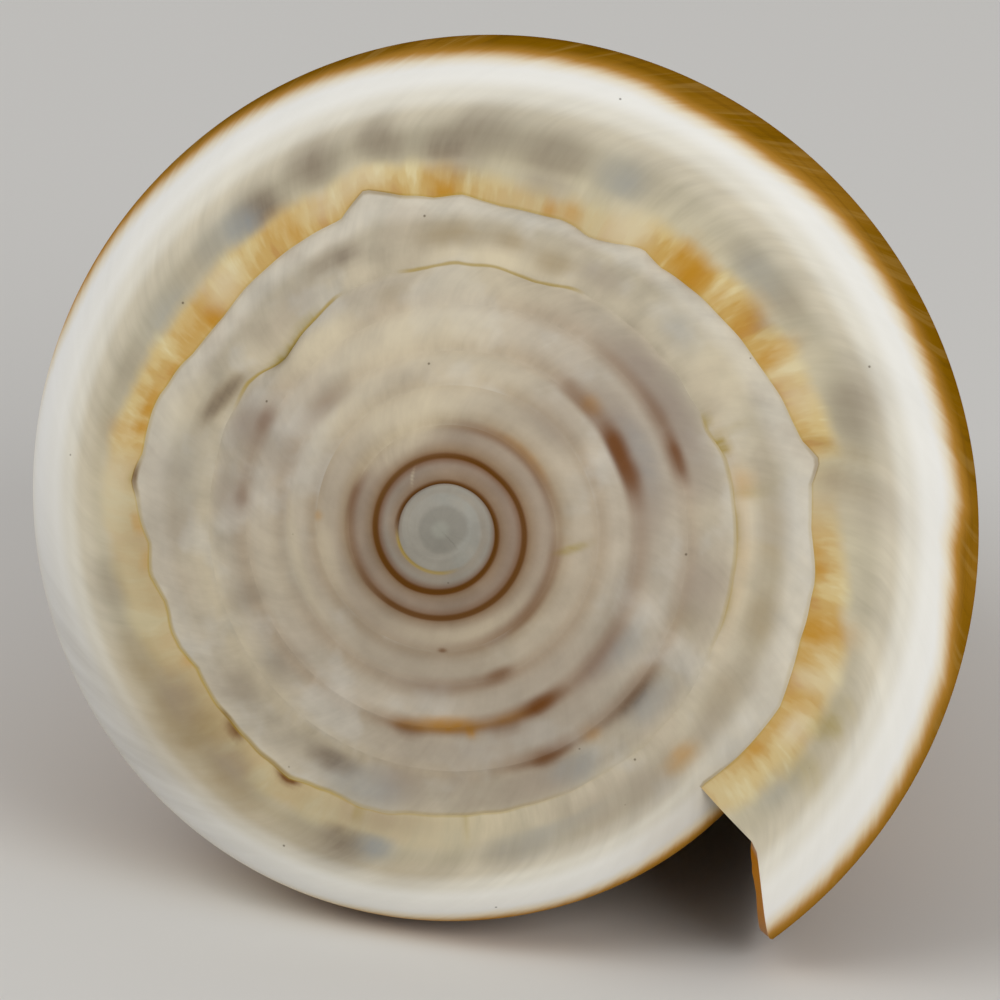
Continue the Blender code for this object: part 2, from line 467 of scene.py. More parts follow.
@dataclass
class ShellPiece:
    """The whole shell as one closed mesh.

    Attributes:
        growth: The law that it follows.
        relief: The small unevenness on it.
        steps: Rows of mesh in one turn.
        ramp_columns: Columns of mesh on the ramp.
        shoulder_columns: Columns on the shoulder.
        body_columns: Columns down the body.
        tip_columns: Columns on the column's closed tip.
        shoulder_packing: How closely they crowd towards the ramp.
        body_packing: How closely the body's columns crowd towards the shoulder.
        corner: Which shoulder column the wall's inside starts from.
        wall: How thick the wall is.
        lip_wall: How thick it is at the lip.
        lip_taper: The turns over which it thickens.
        front_wall: The most of the room's width that it takes up at the front end.
        lip_lead: How far the lip's inner edge stands ahead of its outer one, in turns.
        lead_span: The shares between which that lead turns from behind to ahead.
        closes_from: How far into the room its floor starts to rise.
        weld: How close two points are that become one.
        sharp: The angle from which an edge stays crisp.
        roll: How the shell is rolled on its side.
        pitch: How far its front end is raised.
    """

    growth: Growth
    relief: Relief = field(default_factory=Relief)
    steps: int = 360
    ramp_columns: int = 15
    shoulder_columns: int = 12
    body_columns: int = 25
    tip_columns: int = 5
    shoulder_packing: float = 1.3
    body_packing: float = 1.5
    corner: int = 2
    wall: float = 0.85 * MM
    lip_wall: float = 0.34 * MM
    lip_taper: float = 0.09
    front_wall: float = 0.4
    lip_lead: float = 0.001
    lead_span: tuple[float, float] = (0.692, 0.712)
    closes_from: float = 0.5
    weld: float = 0.0001 * MM
    sharp: float = math.radians(50.0)
    roll: float = math.radians(6.6)
    pitch: float = math.radians(13.1)

    def __post_init__(self) -> None:
        """Works out the columns' places across the whorl, and the rows."""
        ramp = [self.growth.next_suture * (1.0 - math.cos(math.pi * i / self.ramp_columns)) / 2.0
                for i in range(self.ramp_columns + 1)]
        span = 1.0 - self.growth.next_suture
        shoulder = [1.0 - span * (1.0 - i / self.shoulder_columns) ** self.shoulder_packing
                    for i in range(1, self.shoulder_columns + 1)]
        body = [1.0 + (i / self.body_columns) ** self.body_packing
                for i in range(1, self.body_columns + 1)]
        tip = [2.0 + i / self.tip_columns for i in range(1, self.tip_columns + 1)]
        self.shares = ramp + shoulder + body + tip
        self.corner_column = self.ramp_columns + self.corner
        self.front_column = self.ramp_columns + self.shoulder_columns + self.body_columns
        self.room_rows = round(self.growth.room_turns * self.steps)
        self.last_row = round((self.growth.turns - self.growth.first_turn) * self.steps)
        self.inside_rows: dict[int, list[tuple[float, float]]] = {}

    def outside(self, row: int, column: int) -> Vector:
        """Gives a point on the outside of the sheet.

        Args:
            row: Rows of mesh back from the lip.
            column: The column across the whorl.

        Returns:
            The point, with the shell's axis on Z.
        """
        if row > self.last_row - self.steps and column == 0:
            return Vector((0.0, 0.0, 0.0))
        growth, share, back = self.growth, self.shares[column], row / self.steps
        turn = growth.turns - back
        radius, depth = growth.profile(turn, share)
        if share <= 1.0:
            depth += self.groove(back, share) - self.relief.rise(growth, back, share)
            radius += self.stray(turn, share)
        return growth.place(back, min(share, 2.0), radius, depth)

    def groove(self, back: float, share: float) -> float:
        """Gives how deep the groove along the sutures is.

        Args:
            back: Turns back from the lip.
            share: The place across the whorl.

        Returns:
            The depth in metres.
        """
        growth = self.growth
        depth = float(growth.grooves.at(back)) * math.exp(-share / growth.groove_width)
        if back >= 1.0 and share <= growth.next_suture:
            to_next = (growth.next_suture - share) / growth.groove_width
            depth += float(growth.grooves.at(back - 1.0)) * math.exp(-to_next)
        return depth * MM

    def stray(self, turn: float, share: float) -> float:
        """Gives how far the straying sutures pull a place outwards.

        Args:
            turn: Turns from the centre.
            share: The place across the whorl.

        Returns:
            The distance in metres.
        """
        growth = self.growth
        moved = growth.stray(turn) * max(0.0, 1.0 - share / growth.next_suture) ** 2
        if turn <= growth.turns - 1.0 and share <= growth.next_suture:
            moved += growth.stray(turn + 1.0) * (share / growth.next_suture) ** 3
        return moved

    def inside_curve(self, row: int) -> list[tuple[float, float]]:
        """Gives the inside of the last whorl's wall, beside each point outside it.

        Args:
            row: Rows of mesh back from the lip.

        Returns:
            The radius and depth for each column down to the front end.
        """
        growth, shares = self.growth, self.shares[: self.front_column + 1]
        turn = growth.turns - row / self.steps
        outer = [growth.profile(turn, share) for share in shares]
        floor = [growth.profile(turn - 1.0, share) for share in shares]
        closing = max(0.0, (row / self.room_rows - self.closes_from) / (1.0 - self.closes_from))
        taper = eased(row / self.steps, 0.0, self.lip_taper)
        wall = self.lip_wall + (self.wall - self.lip_wall) * taper
        at_front = min(wall, self.front_wall * (outer[-1][0] - growth.column_radius))
        points = []
        for column, (radius, depth) in enumerate(outer):
            before = outer[max(column - 1, 0)]
            after = outer[min(column + 1, self.front_column)]
            along = Vector((after[0] - before[0], after[1] - before[1])).normalized()
            thick = wall + (at_front - wall) * max(0.0, shares[column] - 1.0)
            inner = (radius - along.y * thick, depth + along.x * thick)
            end = floor[max(column, self.corner_column)]
            points.append(tuple(a + (b - a) * closing for a, b in zip(inner, end)))
        corner, beside = floor[self.corner_column], points[self.corner_column]
        for column in range(self.corner_column):
            way = column / self.corner_column
            points[column] = tuple(a + (b - a) * way for a, b in zip(corner, beside))
        return points

    def inside(self, row: int, column: int) -> Vector:
        """Gives a point on the inside of the sheet. Row -1 and the last column are its edges.

        Args:
            row: Rows of mesh back from the lip.
            column: The column across the whorl.

        Returns:
            The point, with the shell's axis on Z.
        """
        if row < 0 or column > self.front_column:
            return self.outside(max(row, 0), min(column, self.front_column))
        if column == 0 or row == self.room_rows:
            return self.outside(row + self.steps, max(column, self.corner_column))
        if row not in self.inside_rows:
            self.inside_rows[row] = self.inside_curve(row)
        radius, depth = self.inside_rows[row][column]
        back, share = row / self.steps, self.shares[column]
        if row == 0:
            back -= self.lip_lead * (2.0 * eased(share, *self.lead_span) - 1.0)
        return self.growth.place(back, share, radius, depth)

    def is_surface(self, row: int, column: int) -> bool:
        """Says whether a cell of the outer sheet is on the shell's surface.

        Args:
            row: The cell's row.
            column: The cell's column.

        Returns:
            False where another whorl covers it.
        """
        if column < self.ramp_columns:
            return True
        if column >= self.front_column:
            return self.room_rows <= row < self.room_rows + self.steps
        if column < self.corner_column:
            return row < self.steps
        return row < self.steps + self.room_rows

    def wind(self, mesh: bmesh.types.BMesh, rows: tuple[int, int], columns: tuple[int, int],
             inner: bool = False) -> None:
        """Adds a flat grid, cuts away what is covered and winds the rest into a whorl.

        Args:
            mesh: The mesh that it goes into.
            rows: The first and last row of mesh.
            columns: The first and last column.
            inner: Whether it is the inside of the wall.
        """
        growth_map = mesh.loops.layers.uv.verify()
        inside_mark = mesh.faces.layers.int["inside"]
        along, across = rows[1] - rows[0], columns[1] - columns[0]
        made = bmesh.ops.create_grid(mesh, x_segments=along, y_segments=across, size=1.0)
        place = {vertex: (round((vertex.co.x + 1.0) / 2.0 * along) + rows[0],
                          round((vertex.co.y + 1.0) / 2.0 * across) + columns[0])
                 for vertex in made["verts"]}
        hidden = []
        for face in {face for vertex in made["verts"] for face in vertex.link_faces}:
            corners = [place[vertex] for vertex in face.verts]
            if not inner and not self.is_surface(*map(min, zip(*corners))):
                hidden.append(face)
                continue
            face[inside_mark] = int(inner)
            for loop in face.loops:
                row, column = place[loop.vert]
                loop[growth_map].uv = (max(row, 0) / self.steps, self.shares[column])
        point = self.inside if inner else self.outside
        for vertex, (row, column) in place.items():
            vertex.co = point(row, column)
        bmesh.ops.delete(mesh, geom=hidden, context="FACES")

    def shape(self) -> bmesh.types.BMesh:
        """Winds the sheets and joins them into one closed skin.

        Returns:
            The mesh, with the shell's axis on Z.
        """
        mesh = bmesh.new()
        mesh.faces.layers.int.new("inside")
        from_axis = mesh.verts.layers.float.new("from_axis")
        front = self.front_column
        self.wind(mesh, (0, self.last_row), (0, front))
        self.wind(mesh, (self.room_rows, self.room_rows + self.steps),
                  (front, front + self.tip_columns))
        self.wind(mesh, (-1, self.room_rows), (0, front + 1), inner=True)
        bmesh.ops.remove_doubles(mesh, verts=mesh.verts, dist=self.weld)
        open_edges = [edge for edge in mesh.edges if edge.is_boundary]
        growth_map = mesh.loops.layers.uv.verify()
        for face in bmesh.ops.holes_fill(mesh, edges=open_edges)["faces"]:
            for loop in face.loops:
                loop[growth_map].uv = (self.last_row / self.steps, 0.2)
        bmesh.ops.recalc_face_normals(mesh, faces=mesh.faces)
        for vertex in mesh.verts:
            vertex[from_axis] = vertex.co.xy.length / MM
        return mesh

    def lie_down(self, mesh: bmesh.types.BMesh) -> Matrix:
        """Turns the shell onto its side and sets it in the frame's box.

        Args:
            mesh: The shell, with its axis on Z.

        Returns:
            The matrix from the shell's own axes to the frame.
        """
        lying = Matrix.Rotation(math.radians(90.0) - self.pitch, 4, "X")
        lying = lying @ Matrix.Rotation(self.roll, 4, "Z")
        bmesh.ops.transform(mesh, matrix=lying, verts=mesh.verts)
        points = np.array([vertex.co for vertex in mesh.verts])
        low, high = points.min(axis=0), points.max(axis=0)
        box_low, box_high = (np.array(corner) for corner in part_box("shell"))
        fit = min(1.0, float(((box_high - box_low) / (high - low)).min()))
        shift = Vector((box_low + box_high) / 2.0 - (low + high) / 2.0 * fit)
        shift.z = float(box_low[2] - low[2] * fit)
        settle = Matrix.Translation(shift) @ Matrix.Scale(fit, 4)
        bmesh.ops.transform(mesh, matrix=settle, verts=mesh.verts)
        LOG.info("the shell fits its box at a scale of %.4f", fit)
        return settle @ lying

    def build(self) -> tuple[bpy.types.Object, Matrix]:
        """Makes the shell's object.

        Returns:
            The object, and the matrix from the shell's own axes to the frame.
        """
        mesh = self.shape()
        to_frame = self.lie_down(mesh)
        data = bpy.data.meshes.new("cone_shell")
        mesh.to_mesh(data)
        mesh.free()
        data.uv_layers[0].name = GROWTH_MAP
        data.shade_smooth()
        data.set_sharp_from_angle(angle=self.sharp)
        return show("cone_shell", data), to_frame


def show(name: str, data: bpy.types.ID) -> bpy.types.Object:
    """Makes an object of a mesh, a light or a camera, and puts it in the scene.

    Args:
        name: The object's name.
        data: What it holds.

    Returns:
        The object.
    """
    made = bpy.data.objects.new(name, data)
    bpy.context.scene.collection.objects.link(made)
    return made


@dataclass(frozen=True)
class Markings:
    """Where the pigments lie, as a short list of patches and a few courses along the whorls.

    Attributes:
        patches: The patches of each pigment; a few tan and slate ones are painted shade.
        stain: How strong the stained band is.
        stain_reach: The share that the stained band reaches.
        dark_line: How strong the dark line along the suture is. On the last suture it is painted
            shadow in the notches; on the spire it is a brown line.
        olive_line: The same for the olive line.
        soft_line: The same for the soft brown line.
        rim: The share where the body's golden skin starts.
        heart: How far the smooth grey centre reaches from the axis, in millimetres.
    """

    patches: dict[Pigment, tuple[Mark, ...]]
    stain: Course
    stain_reach: Course
    dark_line: Course
    olive_line: Course
    soft_line: Course
    rim: Course
    heart: Course

    def lay_on(self, data: bpy.types.Mesh, growth: Growth) -> None:
        """Writes every mask onto the mesh's corners.

        Args:
            data: The shell's mesh, with its growth map.
            growth: The law of the shell.
        """
        places = np.empty(len(data.loops) * 2, dtype=np.float32)
        data.uv_layers[GROWTH_MAP].uv.foreach_get("vector", places)
        back, share = places[0::2].astype(float), places[1::2].astype(float)
        reach = np.empty(len(data.vertices), dtype=np.float32)
        data.attributes["from_axis"].data.foreach_get("value", reach)
        corners = np.empty(len(data.loops), dtype=np.int32)
        data.loops.foreach_get("vertex_index", corners)
        from_suture, suture_back = self.seam(data, growth, back, share)
        masks = {pigment.value: self.spread(patches, growth, back, share)
                 for pigment, patches in self.patches.items()}
        masks |= {
            "from_suture": from_suture,
            "dark_line": self.dark_line.at(suture_back),
            "olive_line": self.olive_line.at(suture_back),
            "soft_line": self.soft_line.at(suture_back),
            "stain": self.stain.at(back),
            "past_stain": share - self.stain_reach.at(back),
            "rim": share - self.rim.at(back),
            "past_heart": reach[corners] - self.heart.at(back),
        }
        for name, values in masks.items():
            mask = data.attributes.new(name, "FLOAT", "CORNER")
            mask.data.foreach_set("value", values.astype(np.float32))

    def spread(self, patches: tuple[Mark, ...], growth: Growth, back: np.ndarray,
               share: np.ndarray) -> np.ndarray:
        """Lays patches on the ramp, and on over the worn sutures onto the next whorl.

        Args:
            patches: The patches of one pigment.
            growth: The law of the shell.
            back: Turns back from the lip, for each corner.
            share: The place across the whorl, for each corner.

        Returns:
            How much of the pigment there is at each corner.
        """
        bare = np.ones_like(back)
        on_ramp = share <= growth.next_suture
        over_next = on_ramp & (back > growth.worn_to + 1.0)
        over_last = on_ramp & (back > growth.worn_to)
        for mark in patches:
            bare *= 1.0 - mark.mask(back, share)
            bare *= 1.0 - over_next * mark.mask(back - 1.0, share - growth.next_suture)
            bare *= 1.0 - over_last * mark.mask(back + 1.0, share + growth.next_suture)
        return 1.0 - bare

    def seam(self, data: bpy.types.Mesh, growth: Growth, back: np.ndarray,
             share: np.ndarray) -> tuple[np.ndarray, np.ndarray]:
        """Gives how far each corner is from the nearest suture.

        Args:
            data: The shell's mesh.
            growth: The law of the shell.
            back: Turns back from the lip, for each corner.
            share: The place across the whorl, for each corner.

        Returns:
            The distance in millimetres, below zero on the older side, and the suture's own
            turns back from the lip.
        """
        turns = np.linspace(0.0, growth.turns, 400)
        widths = [growth.widest_radius(turn) - growth.suture_radius(turn) for turn in turns]
        width = np.interp(growth.turns - back, turns, widths) / MM
        corners = np.empty(len(data.polygons), dtype=np.int32)
        data.polygons.foreach_get("loop_total", corners)
        face = np.repeat(np.arange(len(corners)), corners)
        middle = (np.bincount(face, share) / corners)[face]
        oldest = (np.bincount(face, back) / corners)[face]
        older = (middle > growth.next_suture / 2.0) & (oldest > 1.0)
        distance = np.where(older, (share - growth.next_suture) * width, share * width)
        return distance, np.where(older, back - 1.0, back)


SHELL_MARKINGS = Markings(
    patches={
        Pigment.ORANGE: marks(
            (0.028, 0.05, 0.005, 0.07, 0.8), (0.041, 0.05, 0.006, 0.08, 0.35),
            (0.054, 0.12, 0.005, 0.16, 0.45), (0.075, 0.1, 0.004, 0.2, 0.45),
            (0.085, 0.09, 0.008, 0.17, 1.0), (0.086, 0.3, 0.007, 0.1, 0.3),
            (0.112, 0.03, 0.004, 0.06, 0.8), (0.121, 0.03, 0.004, 0.05, 0.5),
            (0.21, 0.09, 0.005, 0.17, 1.0), (0.229, 0.06, 0.005, 0.1, 0.5),
            (0.246, 0.06, 0.004, 0.1, 0.5), (0.256, 0.05, 0.004, 0.1, 0.9),
            (0.263, 0.06, 0.005, 0.13, 1.0), (0.271, 0.12, 0.005, 0.1, 0.8),
            (0.326, 0.05, 0.005, 0.06, 0.5), (0.337, 0.03, 0.004, 0.05, 0.6),
            (0.389, 0.03, 0.005, 0.06, 1.0), (0.39, 0.13, 0.008, 0.09, 0.4),
            (0.466, 0.04, 0.005, 0.09, 0.75), (0.468, 0.16, 0.01, 0.1, 0.45),
            (0.524, 0.03, 0.005, 0.06, 0.8), (0.531, 0.12, 0.012, 0.1, 0.45),
            (0.553, 0.02, 0.007, 0.04, 0.5), (0.571, 0.04, 0.004, 0.06, 0.7),
            (0.578, 0.05, 0.004, 0.07, 0.9), (0.588, 0.05, 0.004, 0.09, 1.0),
            (0.592, 0.22, 0.007, 0.14, 0.5), (0.634, 0.04, 0.005, 0.05, 0.6),
            (0.653, 0.03, 0.005, 0.05, 0.4), (0.708, 0.02, 0.004, 0.05, 0.4),
            (1.003, 0.38, 0.01, 0.11, 0.6), (1.155, 0.15, 0.008, 0.12, 0.35),
            (1.975, 0.12, 0.006, 0.14, 0.4), (2.85, 0.05, 0.014, 0.1, 0.7),
            (2.885, 0.04, 0.026, 0.1, 0.8), (2.896, 0.12, 0.004, 0.14, 0.9),
            (2.93, 0.05, 0.02, 0.1, 0.6), (0.233, 0.16, 0.008, 0.1, 0.4),
            (1.13, 0.07, 0.06, 0.1, 0.2), (3.245, 0.1, 0.01, 0.14, 0.4),
            (3.875, 0.66, 0.022, 0.1, 0.6), (5.25, 0.06, 0.06, 0.1, 0.3),
            (5.62, 0.68, 0.006, 0.08, 0.4),
        ),
        Pigment.RUST: marks(
            (0.751, 0.02, 0.006, 0.07, 1.0), (0.788, 0.02, 0.007, 0.05, 1.0),
            (1.943, 0.13, 0.011, 0.15, 0.9), (2.179, 0.06, 0.011, 0.1, 0.6),
            (2.213, 0.1, 0.016, 0.16, 0.3), (2.552, 0.08, 0.012, 0.14, 0.3),
            (2.614, 0.12, 0.009, 0.14, 0.25), (2.848, 0.15, 0.012, 0.17, 0.5),
            (2.925, 0.2, 0.014, 0.14, 0.5), (2.953, 0.09, 0.012, 0.15, 0.7),
            (3.176, 0.09, 0.014, 0.14, 0.5), (3.205, 0.08, 0.014, 0.14, 0.6),
            (3.93, 0.05, 0.016, 0.12, 0.3), (3.957, 0.7, 0.016, 0.07, 0.6),
            (4.19, 0.7, 0.024, 0.1, 0.7), (4.25, 0.7, 0.02, 0.1, 0.3),
            (4.935, 0.68, 0.014, 0.1, 0.5), (5.0, 0.04, 0.04, 0.09, 0.3),
            (5.59, 0.01, 0.03, 0.07, 0.3), (4.876, 0.0, 0.006, 0.05, 0.7),
        ),
        Pigment.SLATE_AND_SHADE: marks(
            (0.176, 0.38, 0.015, 0.18, 0.55), (0.188, 0.55, 0.012, 0.13, 0.25),
            (0.228, 0.36, 0.012, 0.12, 0.4), (0.25, 0.34, 0.01, 0.11, 0.3),
            (0.302, 0.36, 0.01, 0.16, 0.2), (0.342, 0.32, 0.018, 0.17, 0.6),
            (0.372, 0.4, 0.014, 0.16, 0.75), (0.389, 0.3, 0.01, 0.14, 0.8),
            (0.405, 0.32, 0.012, 0.12, 0.3), (0.417, 0.4, 0.01, 0.17, 0.7),
            (0.445, 0.4, 0.014, 0.17, 0.65), (0.474, 0.32, 0.012, 0.15, 0.9),
            (0.511, 0.34, 0.02, 0.11, 0.3), (0.565, 0.34, 0.014, 0.12, 0.35),
            (0.662, 0.38, 0.014, 0.16, 0.4), (0.828, 0.38, 0.012, 0.17, 1.0),
            (0.816, 0.45, 0.014, 0.14, 0.3), (0.828, 0.58, 0.014, 0.1, 0.3),
            # The long patch at 0.725 turns back, 0.86 across greys the lower-left shoulder: partly
            # its own grey, partly painted shade.
            (0.725, 0.86, 0.08, 0.24, 0.34), (0.905, 0.4, 0.014, 0.13, 0.25),
            (1.453, 0.36, 0.015, 0.12, 0.8), (1.556, 0.18, 0.013, 0.11, 1.0, 0.1),
            (1.737, 0.35, 0.014, 0.22, 0.4), (1.806, 0.35, 0.016, 0.17, 0.8),
            (2.01, 0.16, 0.024, 0.18, 1.0), (2.515, 0.53, 0.007, 0.12, 0.25),
            (2.686, 0.3, 0.012, 0.38, 0.35), (2.74, 0.5, 0.014, 0.26, 0.3),
            (4.06, 0.6, 0.06, 0.18, 0.35),
        ),
        Pigment.HAZE: marks(
            (0.022, 0.33, 0.01, 0.11, 0.4), (0.242, 0.32, 0.012, 0.13, 0.4),
            (0.311, 0.3, 0.011, 0.14, 0.6), (0.484, 0.3, 0.009, 0.14, 0.8),
            (0.497, 0.35, 0.012, 0.13, 0.3), (0.536, 0.3, 0.014, 0.12, 0.5),
            (0.841, 0.34, 0.009, 0.13, 0.9), (0.915, 0.38, 0.02, 0.13, 0.3),
            (0.93, 0.22, 0.03, 0.14, 0.35), (1.245, 0.28, 0.014, 0.17, 0.25),
            (1.83, 0.52, 0.02, 0.22, 0.55), (1.955, 0.48, 0.016, 0.22, 0.6),
            (2.015, 0.42, 0.02, 0.2, 0.5), (3.035, 0.34, 0.02, 0.2, 0.5),
            (3.67, 0.06, 0.05, 0.16, 0.2), (1.6, 0.3, 0.03, 0.3, 0.2),
            (3.19, 0.36, 0.03, 0.16, 0.4),
        ),
        Pigment.VIOLET: marks(
            (0.14, 0.35, 0.012, 0.3, 0.3), (0.15, 0.16, 0.009, 0.15, 0.4),
            (0.96, 0.3, 0.03, 0.3, 0.3), (0.985, 0.35, 0.016, 0.2, 0.5),
            (0.342, 0.17, 0.012, 0.09, 0.6), (0.382, 0.2, 0.012, 0.11, 0.6),
            (0.226, 0.17, 0.008, 0.08, 0.5), (0.84, 0.08, 0.03, 0.2, 0.4),
            (1.025, 0.38, 0.02, 0.14, 0.4), (1.297, 0.23, 0.014, 0.14, 0.5),
            (1.485, 0.22, 0.018, 0.15, 0.35), (1.635, 0.36, 0.012, 0.2, 0.35, 0.06),
            (1.845, 0.32, 0.02, 0.34, 0.65), (1.885, 0.25, 0.016, 0.3, 0.35),
            (1.93, 0.45, 0.03, 0.3, 0.5), (2.095, 0.3, 0.018, 0.36, 0.5),
            (2.215, 0.3, 0.06, 0.34, 1.0), (0.722, 0.24, 0.014, 0.14, 0.5),
            (0.762, 0.26, 0.014, 0.14, 0.5), (2.562, 0.3, 0.018, 0.38, 0.8),
            (2.612, 0.35, 0.018, 0.32, 0.5), (2.93, 0.45, 0.08, 0.28, 0.5),
            (3.02, 0.16, 0.034, 0.22, 1.0), (3.1, 0.1, 0.04, 0.22, 0.3),
            (3.195, 0.24, 0.065, 0.32, 1.0), (3.512, 0.15, 0.026, 0.22, 0.45),
            (3.57, 0.3, 0.02, 0.4, 0.35), (3.855, 0.12, 0.035, 0.24, 0.4),
            (3.95, 0.4, 0.08, 0.36, 0.35), (4.26, 0.3, 0.035, 0.4, 0.3),
            (4.5, 0.66, 0.02, 0.14, 0.3), (4.85, 0.4, 0.1, 0.5, 0.3),
            (5.26, 0.64, 0.035, 0.14, 0.4), (5.8, 0.4, 0.15, 0.5, 0.2),
            (6.58, 0.66, 0.035, 0.14, 0.4), (6.95, 0.4, 0.3, 0.6, 0.1),
        ),
        Pigment.TAN_AND_SHADE: marks(
            (0.045, 0.4, 0.02, 0.14, 0.2), (0.595, 0.42, 0.02, 0.16, 0.2),
            (0.7, 0.36, 0.018, 0.18, 0.7), (0.735, 0.32, 0.024, 0.24, 0.9),
            (0.768, 0.38, 0.02, 0.22, 0.7), (0.8, 0.46, 0.026, 0.2, 0.4),
            (0.86, 0.52, 0.03, 0.16, 0.35), (0.745, 0.62, 0.04, 0.16, 0.3),
            (0.655, 0.08, 0.04, 0.2, 0.4), (0.74, 0.08, 0.04, 0.2, 0.5),
            (0.82, 0.1, 0.04, 0.2, 0.4), (1.04, 0.3, 0.014, 0.14, 0.3),
            # The two thin leaning patches at 0.163 and 0.15 turns back are painted shade along the
            # step of the scar there.
            (0.163, 0.22, 0.005, 0.24, 0.4, -0.03), (0.15, 0.2, 0.005, 0.24, 0.35, -0.03),
            (1.556, 0.18, 0.016, 0.14, 0.7, 0.1), (1.325, 0.2, 0.012, 0.12, 0.6),
            # The patch at 0.99 turns back, 0.84 across is painted shade on the older shoulder
            # under the lip's start.
            (0.99, 0.84, 0.03, 0.24, 0.35), (1.085, 0.37, 0.016, 0.17, 0.6),
            (1.13, 0.38, 0.024, 0.16, 0.5), (1.352, 0.29, 0.012, 0.11, 0.5),
            (1.385, 0.3, 0.02, 0.13, 0.6), (2.07, 0.2, 0.01, 0.3, 0.3),
            (2.425, 0.36, 0.012, 0.18, 0.3),
        ),
        Pigment.OLIVE: marks(
            (0.033, 0.45, 0.007, 0.13, 0.35), (0.052, 0.4, 0.005, 0.1, 0.7),
            (0.061, 0.45, 0.005, 0.1, 0.3), (0.612, -0.02, 0.006, 0.08, 0.6),
            (0.886, 0.02, 0.002, 0.2, 0.4), (0.829, 0.06, 0.002, 0.12, 0.5),
            (1.15, 0.15, 0.004, 0.2, 0.3), (1.185, 0.16, 0.003, 0.18, 0.3),
            (1.085, 0.01, 0.012, 0.05, 0.4), (1.13, 0.02, 0.02, 0.05, 0.4),
            (1.178, 0.03, 0.006, 0.09, 0.9), (1.195, 0.02, 0.004, 0.06, 0.6),
            (1.485, 0.02, 0.012, 0.06, 0.6), (1.51, 0.0, 0.014, 0.06, 0.9),
            (2.512, 0.6, 0.008, 0.14, 0.4), (5.105, 0.28, 0.006, 0.3, 0.6, 0.03),
        ),
        Pigment.CREAM: marks(
            (0.045, 0.2, 0.008, 0.1, 0.7), (0.066, 0.14, 0.005, 0.14, 0.5),
            (0.188, 0.1, 0.01, 0.12, 0.5), (0.202, 0.18, 0.005, 0.28, 0.5),
            (0.298, 0.1, 0.01, 0.13, 0.8), (0.428, 0.14, 0.014, 0.12, 0.6),
            (0.447, 0.14, 0.012, 0.1, 0.5), (0.508, 0.12, 0.012, 0.12, 0.6),
            (0.62, 0.3, 0.02, 0.24, 0.4), (0.07, 0.3, 0.008, 0.1, 0.4),
            (1.1, 0.12, 0.03, 0.12, 0.4), (1.145, 0.15, 0.02, 0.13, 0.5),
            (1.215, 0.35, 0.02, 0.3, 0.5), (1.36, 0.08, 0.03, 0.11, 0.7),
            (1.572, 0.48, 0.02, 0.16, 0.6), (2.138, 0.3, 0.012, 0.4, 0.3),
            (2.36, 0.4, 0.05, 0.4, 0.45), (2.485, 0.2, 0.035, 0.3, 0.9),
            (3.42, 0.35, 0.08, 0.5, 0.7), (4.36, 0.35, 0.07, 0.5, 0.35),
            (4.5, 0.35, 0.06, 0.5, 0.4), (5.43, 0.4, 0.08, 0.5, 0.6),
            (5.52, 0.08, 0.04, 0.16, 0.25), (2.7, 0.62, 0.08, 0.2, 0.3),
            (4.67, 0.62, 0.06, 0.16, 0.4), (5.67, 0.6, 0.05, 0.18, 0.4),
            (5.9, 0.45, 0.12, 0.22, 0.4), (6.46, 0.56, 0.07, 0.34, 0.5),
            (3.67, 0.35, 0.05, 0.5, 0.3), (7.466, 0.42, 0.004, 0.22, 0.45, -0.075),
        ),
    },
    stain=Course((
        (0.0, 0.6), (0.02, 0.8), (0.1, 0.9), (0.13, 0.7), (0.145, 0.25), (0.158, 0.15),
        (0.166, 0.9), (0.28, 1.0), (0.295, 0.7), (0.31, 0.45), (0.36, 0.6), (0.38, 0.9),
        (0.595, 0.9), (0.61, 0.4), (0.64, 0.35), (0.7, 0.4), (0.8, 0.35), (0.84, 0.25),
        (0.88, 0.1), (0.92, 0.0), (1.0, 0.0),
    )),
    stain_reach=Course((
        (0.0, 0.24), (0.03, 0.36), (0.08, 0.34), (0.1, 0.26), (0.14, 0.2), (0.17, 0.24),
        (0.24, 0.22), (0.29, 0.2), (0.33, 0.13), (0.37, 0.16), (0.4, 0.22), (0.47, 0.26),
        (0.58, 0.28), (0.6, 0.34), (0.64, 0.36), (0.7, 0.28), (0.8, 0.3), (0.87, 0.36),
        (1.0, 0.3),
    )),
    # Within the first 0.8 turns its short strong stretches darken the notches and gaps in the last
    # suture: painted shadow. From 5.68 turns back it is the spire's brown line.
    dark_line=Course((
        (0.0, 0.2), (0.03, 0.0), (0.148, 0.0), (0.155, 0.4), (0.162, 0.3), (0.17, 0.0),
        (0.408, 0.0), (0.418, 0.35), (0.43, 0.25), (0.44, 0.0), (0.603, 0.0), (0.61, 0.8),
        (0.616, 0.5), (0.622, 0.0), (0.735, 0.0), (0.742, 0.5), (0.752, 0.1), (0.785, 0.3),
        (0.792, 0.0), (5.68, 0.0), (5.78, 0.85), (6.3, 1.0), (6.4, 0.75), (6.6, 0.85), (6.7, 1.0),
        (7.55, 1.0), (7.6, 0.8), (7.66, 0.0),
    )),
    olive_line=Course((
        (0.0, 0.5), (0.02, 0.3), (0.14, 0.3), (0.3, 0.15), (0.33, 0.4), (0.41, 0.5), (0.45, 0.15),
        (0.5, 0.3), (0.56, 0.5), (0.62, 0.4), (0.66, 0.7), (0.8, 0.8), (0.83, 0.4), (0.9, 0.4),
        (0.95, 0.1), (1.05, 0.0), (1.08, 0.4), (1.19, 0.5), (1.2, 0.0), (1.3, 0.0), (1.31, 0.8),
        (1.41, 0.8), (1.42, 0.0), (1.455, 0.0), (1.465, 0.9), (1.54, 0.9), (1.56, 0.0),
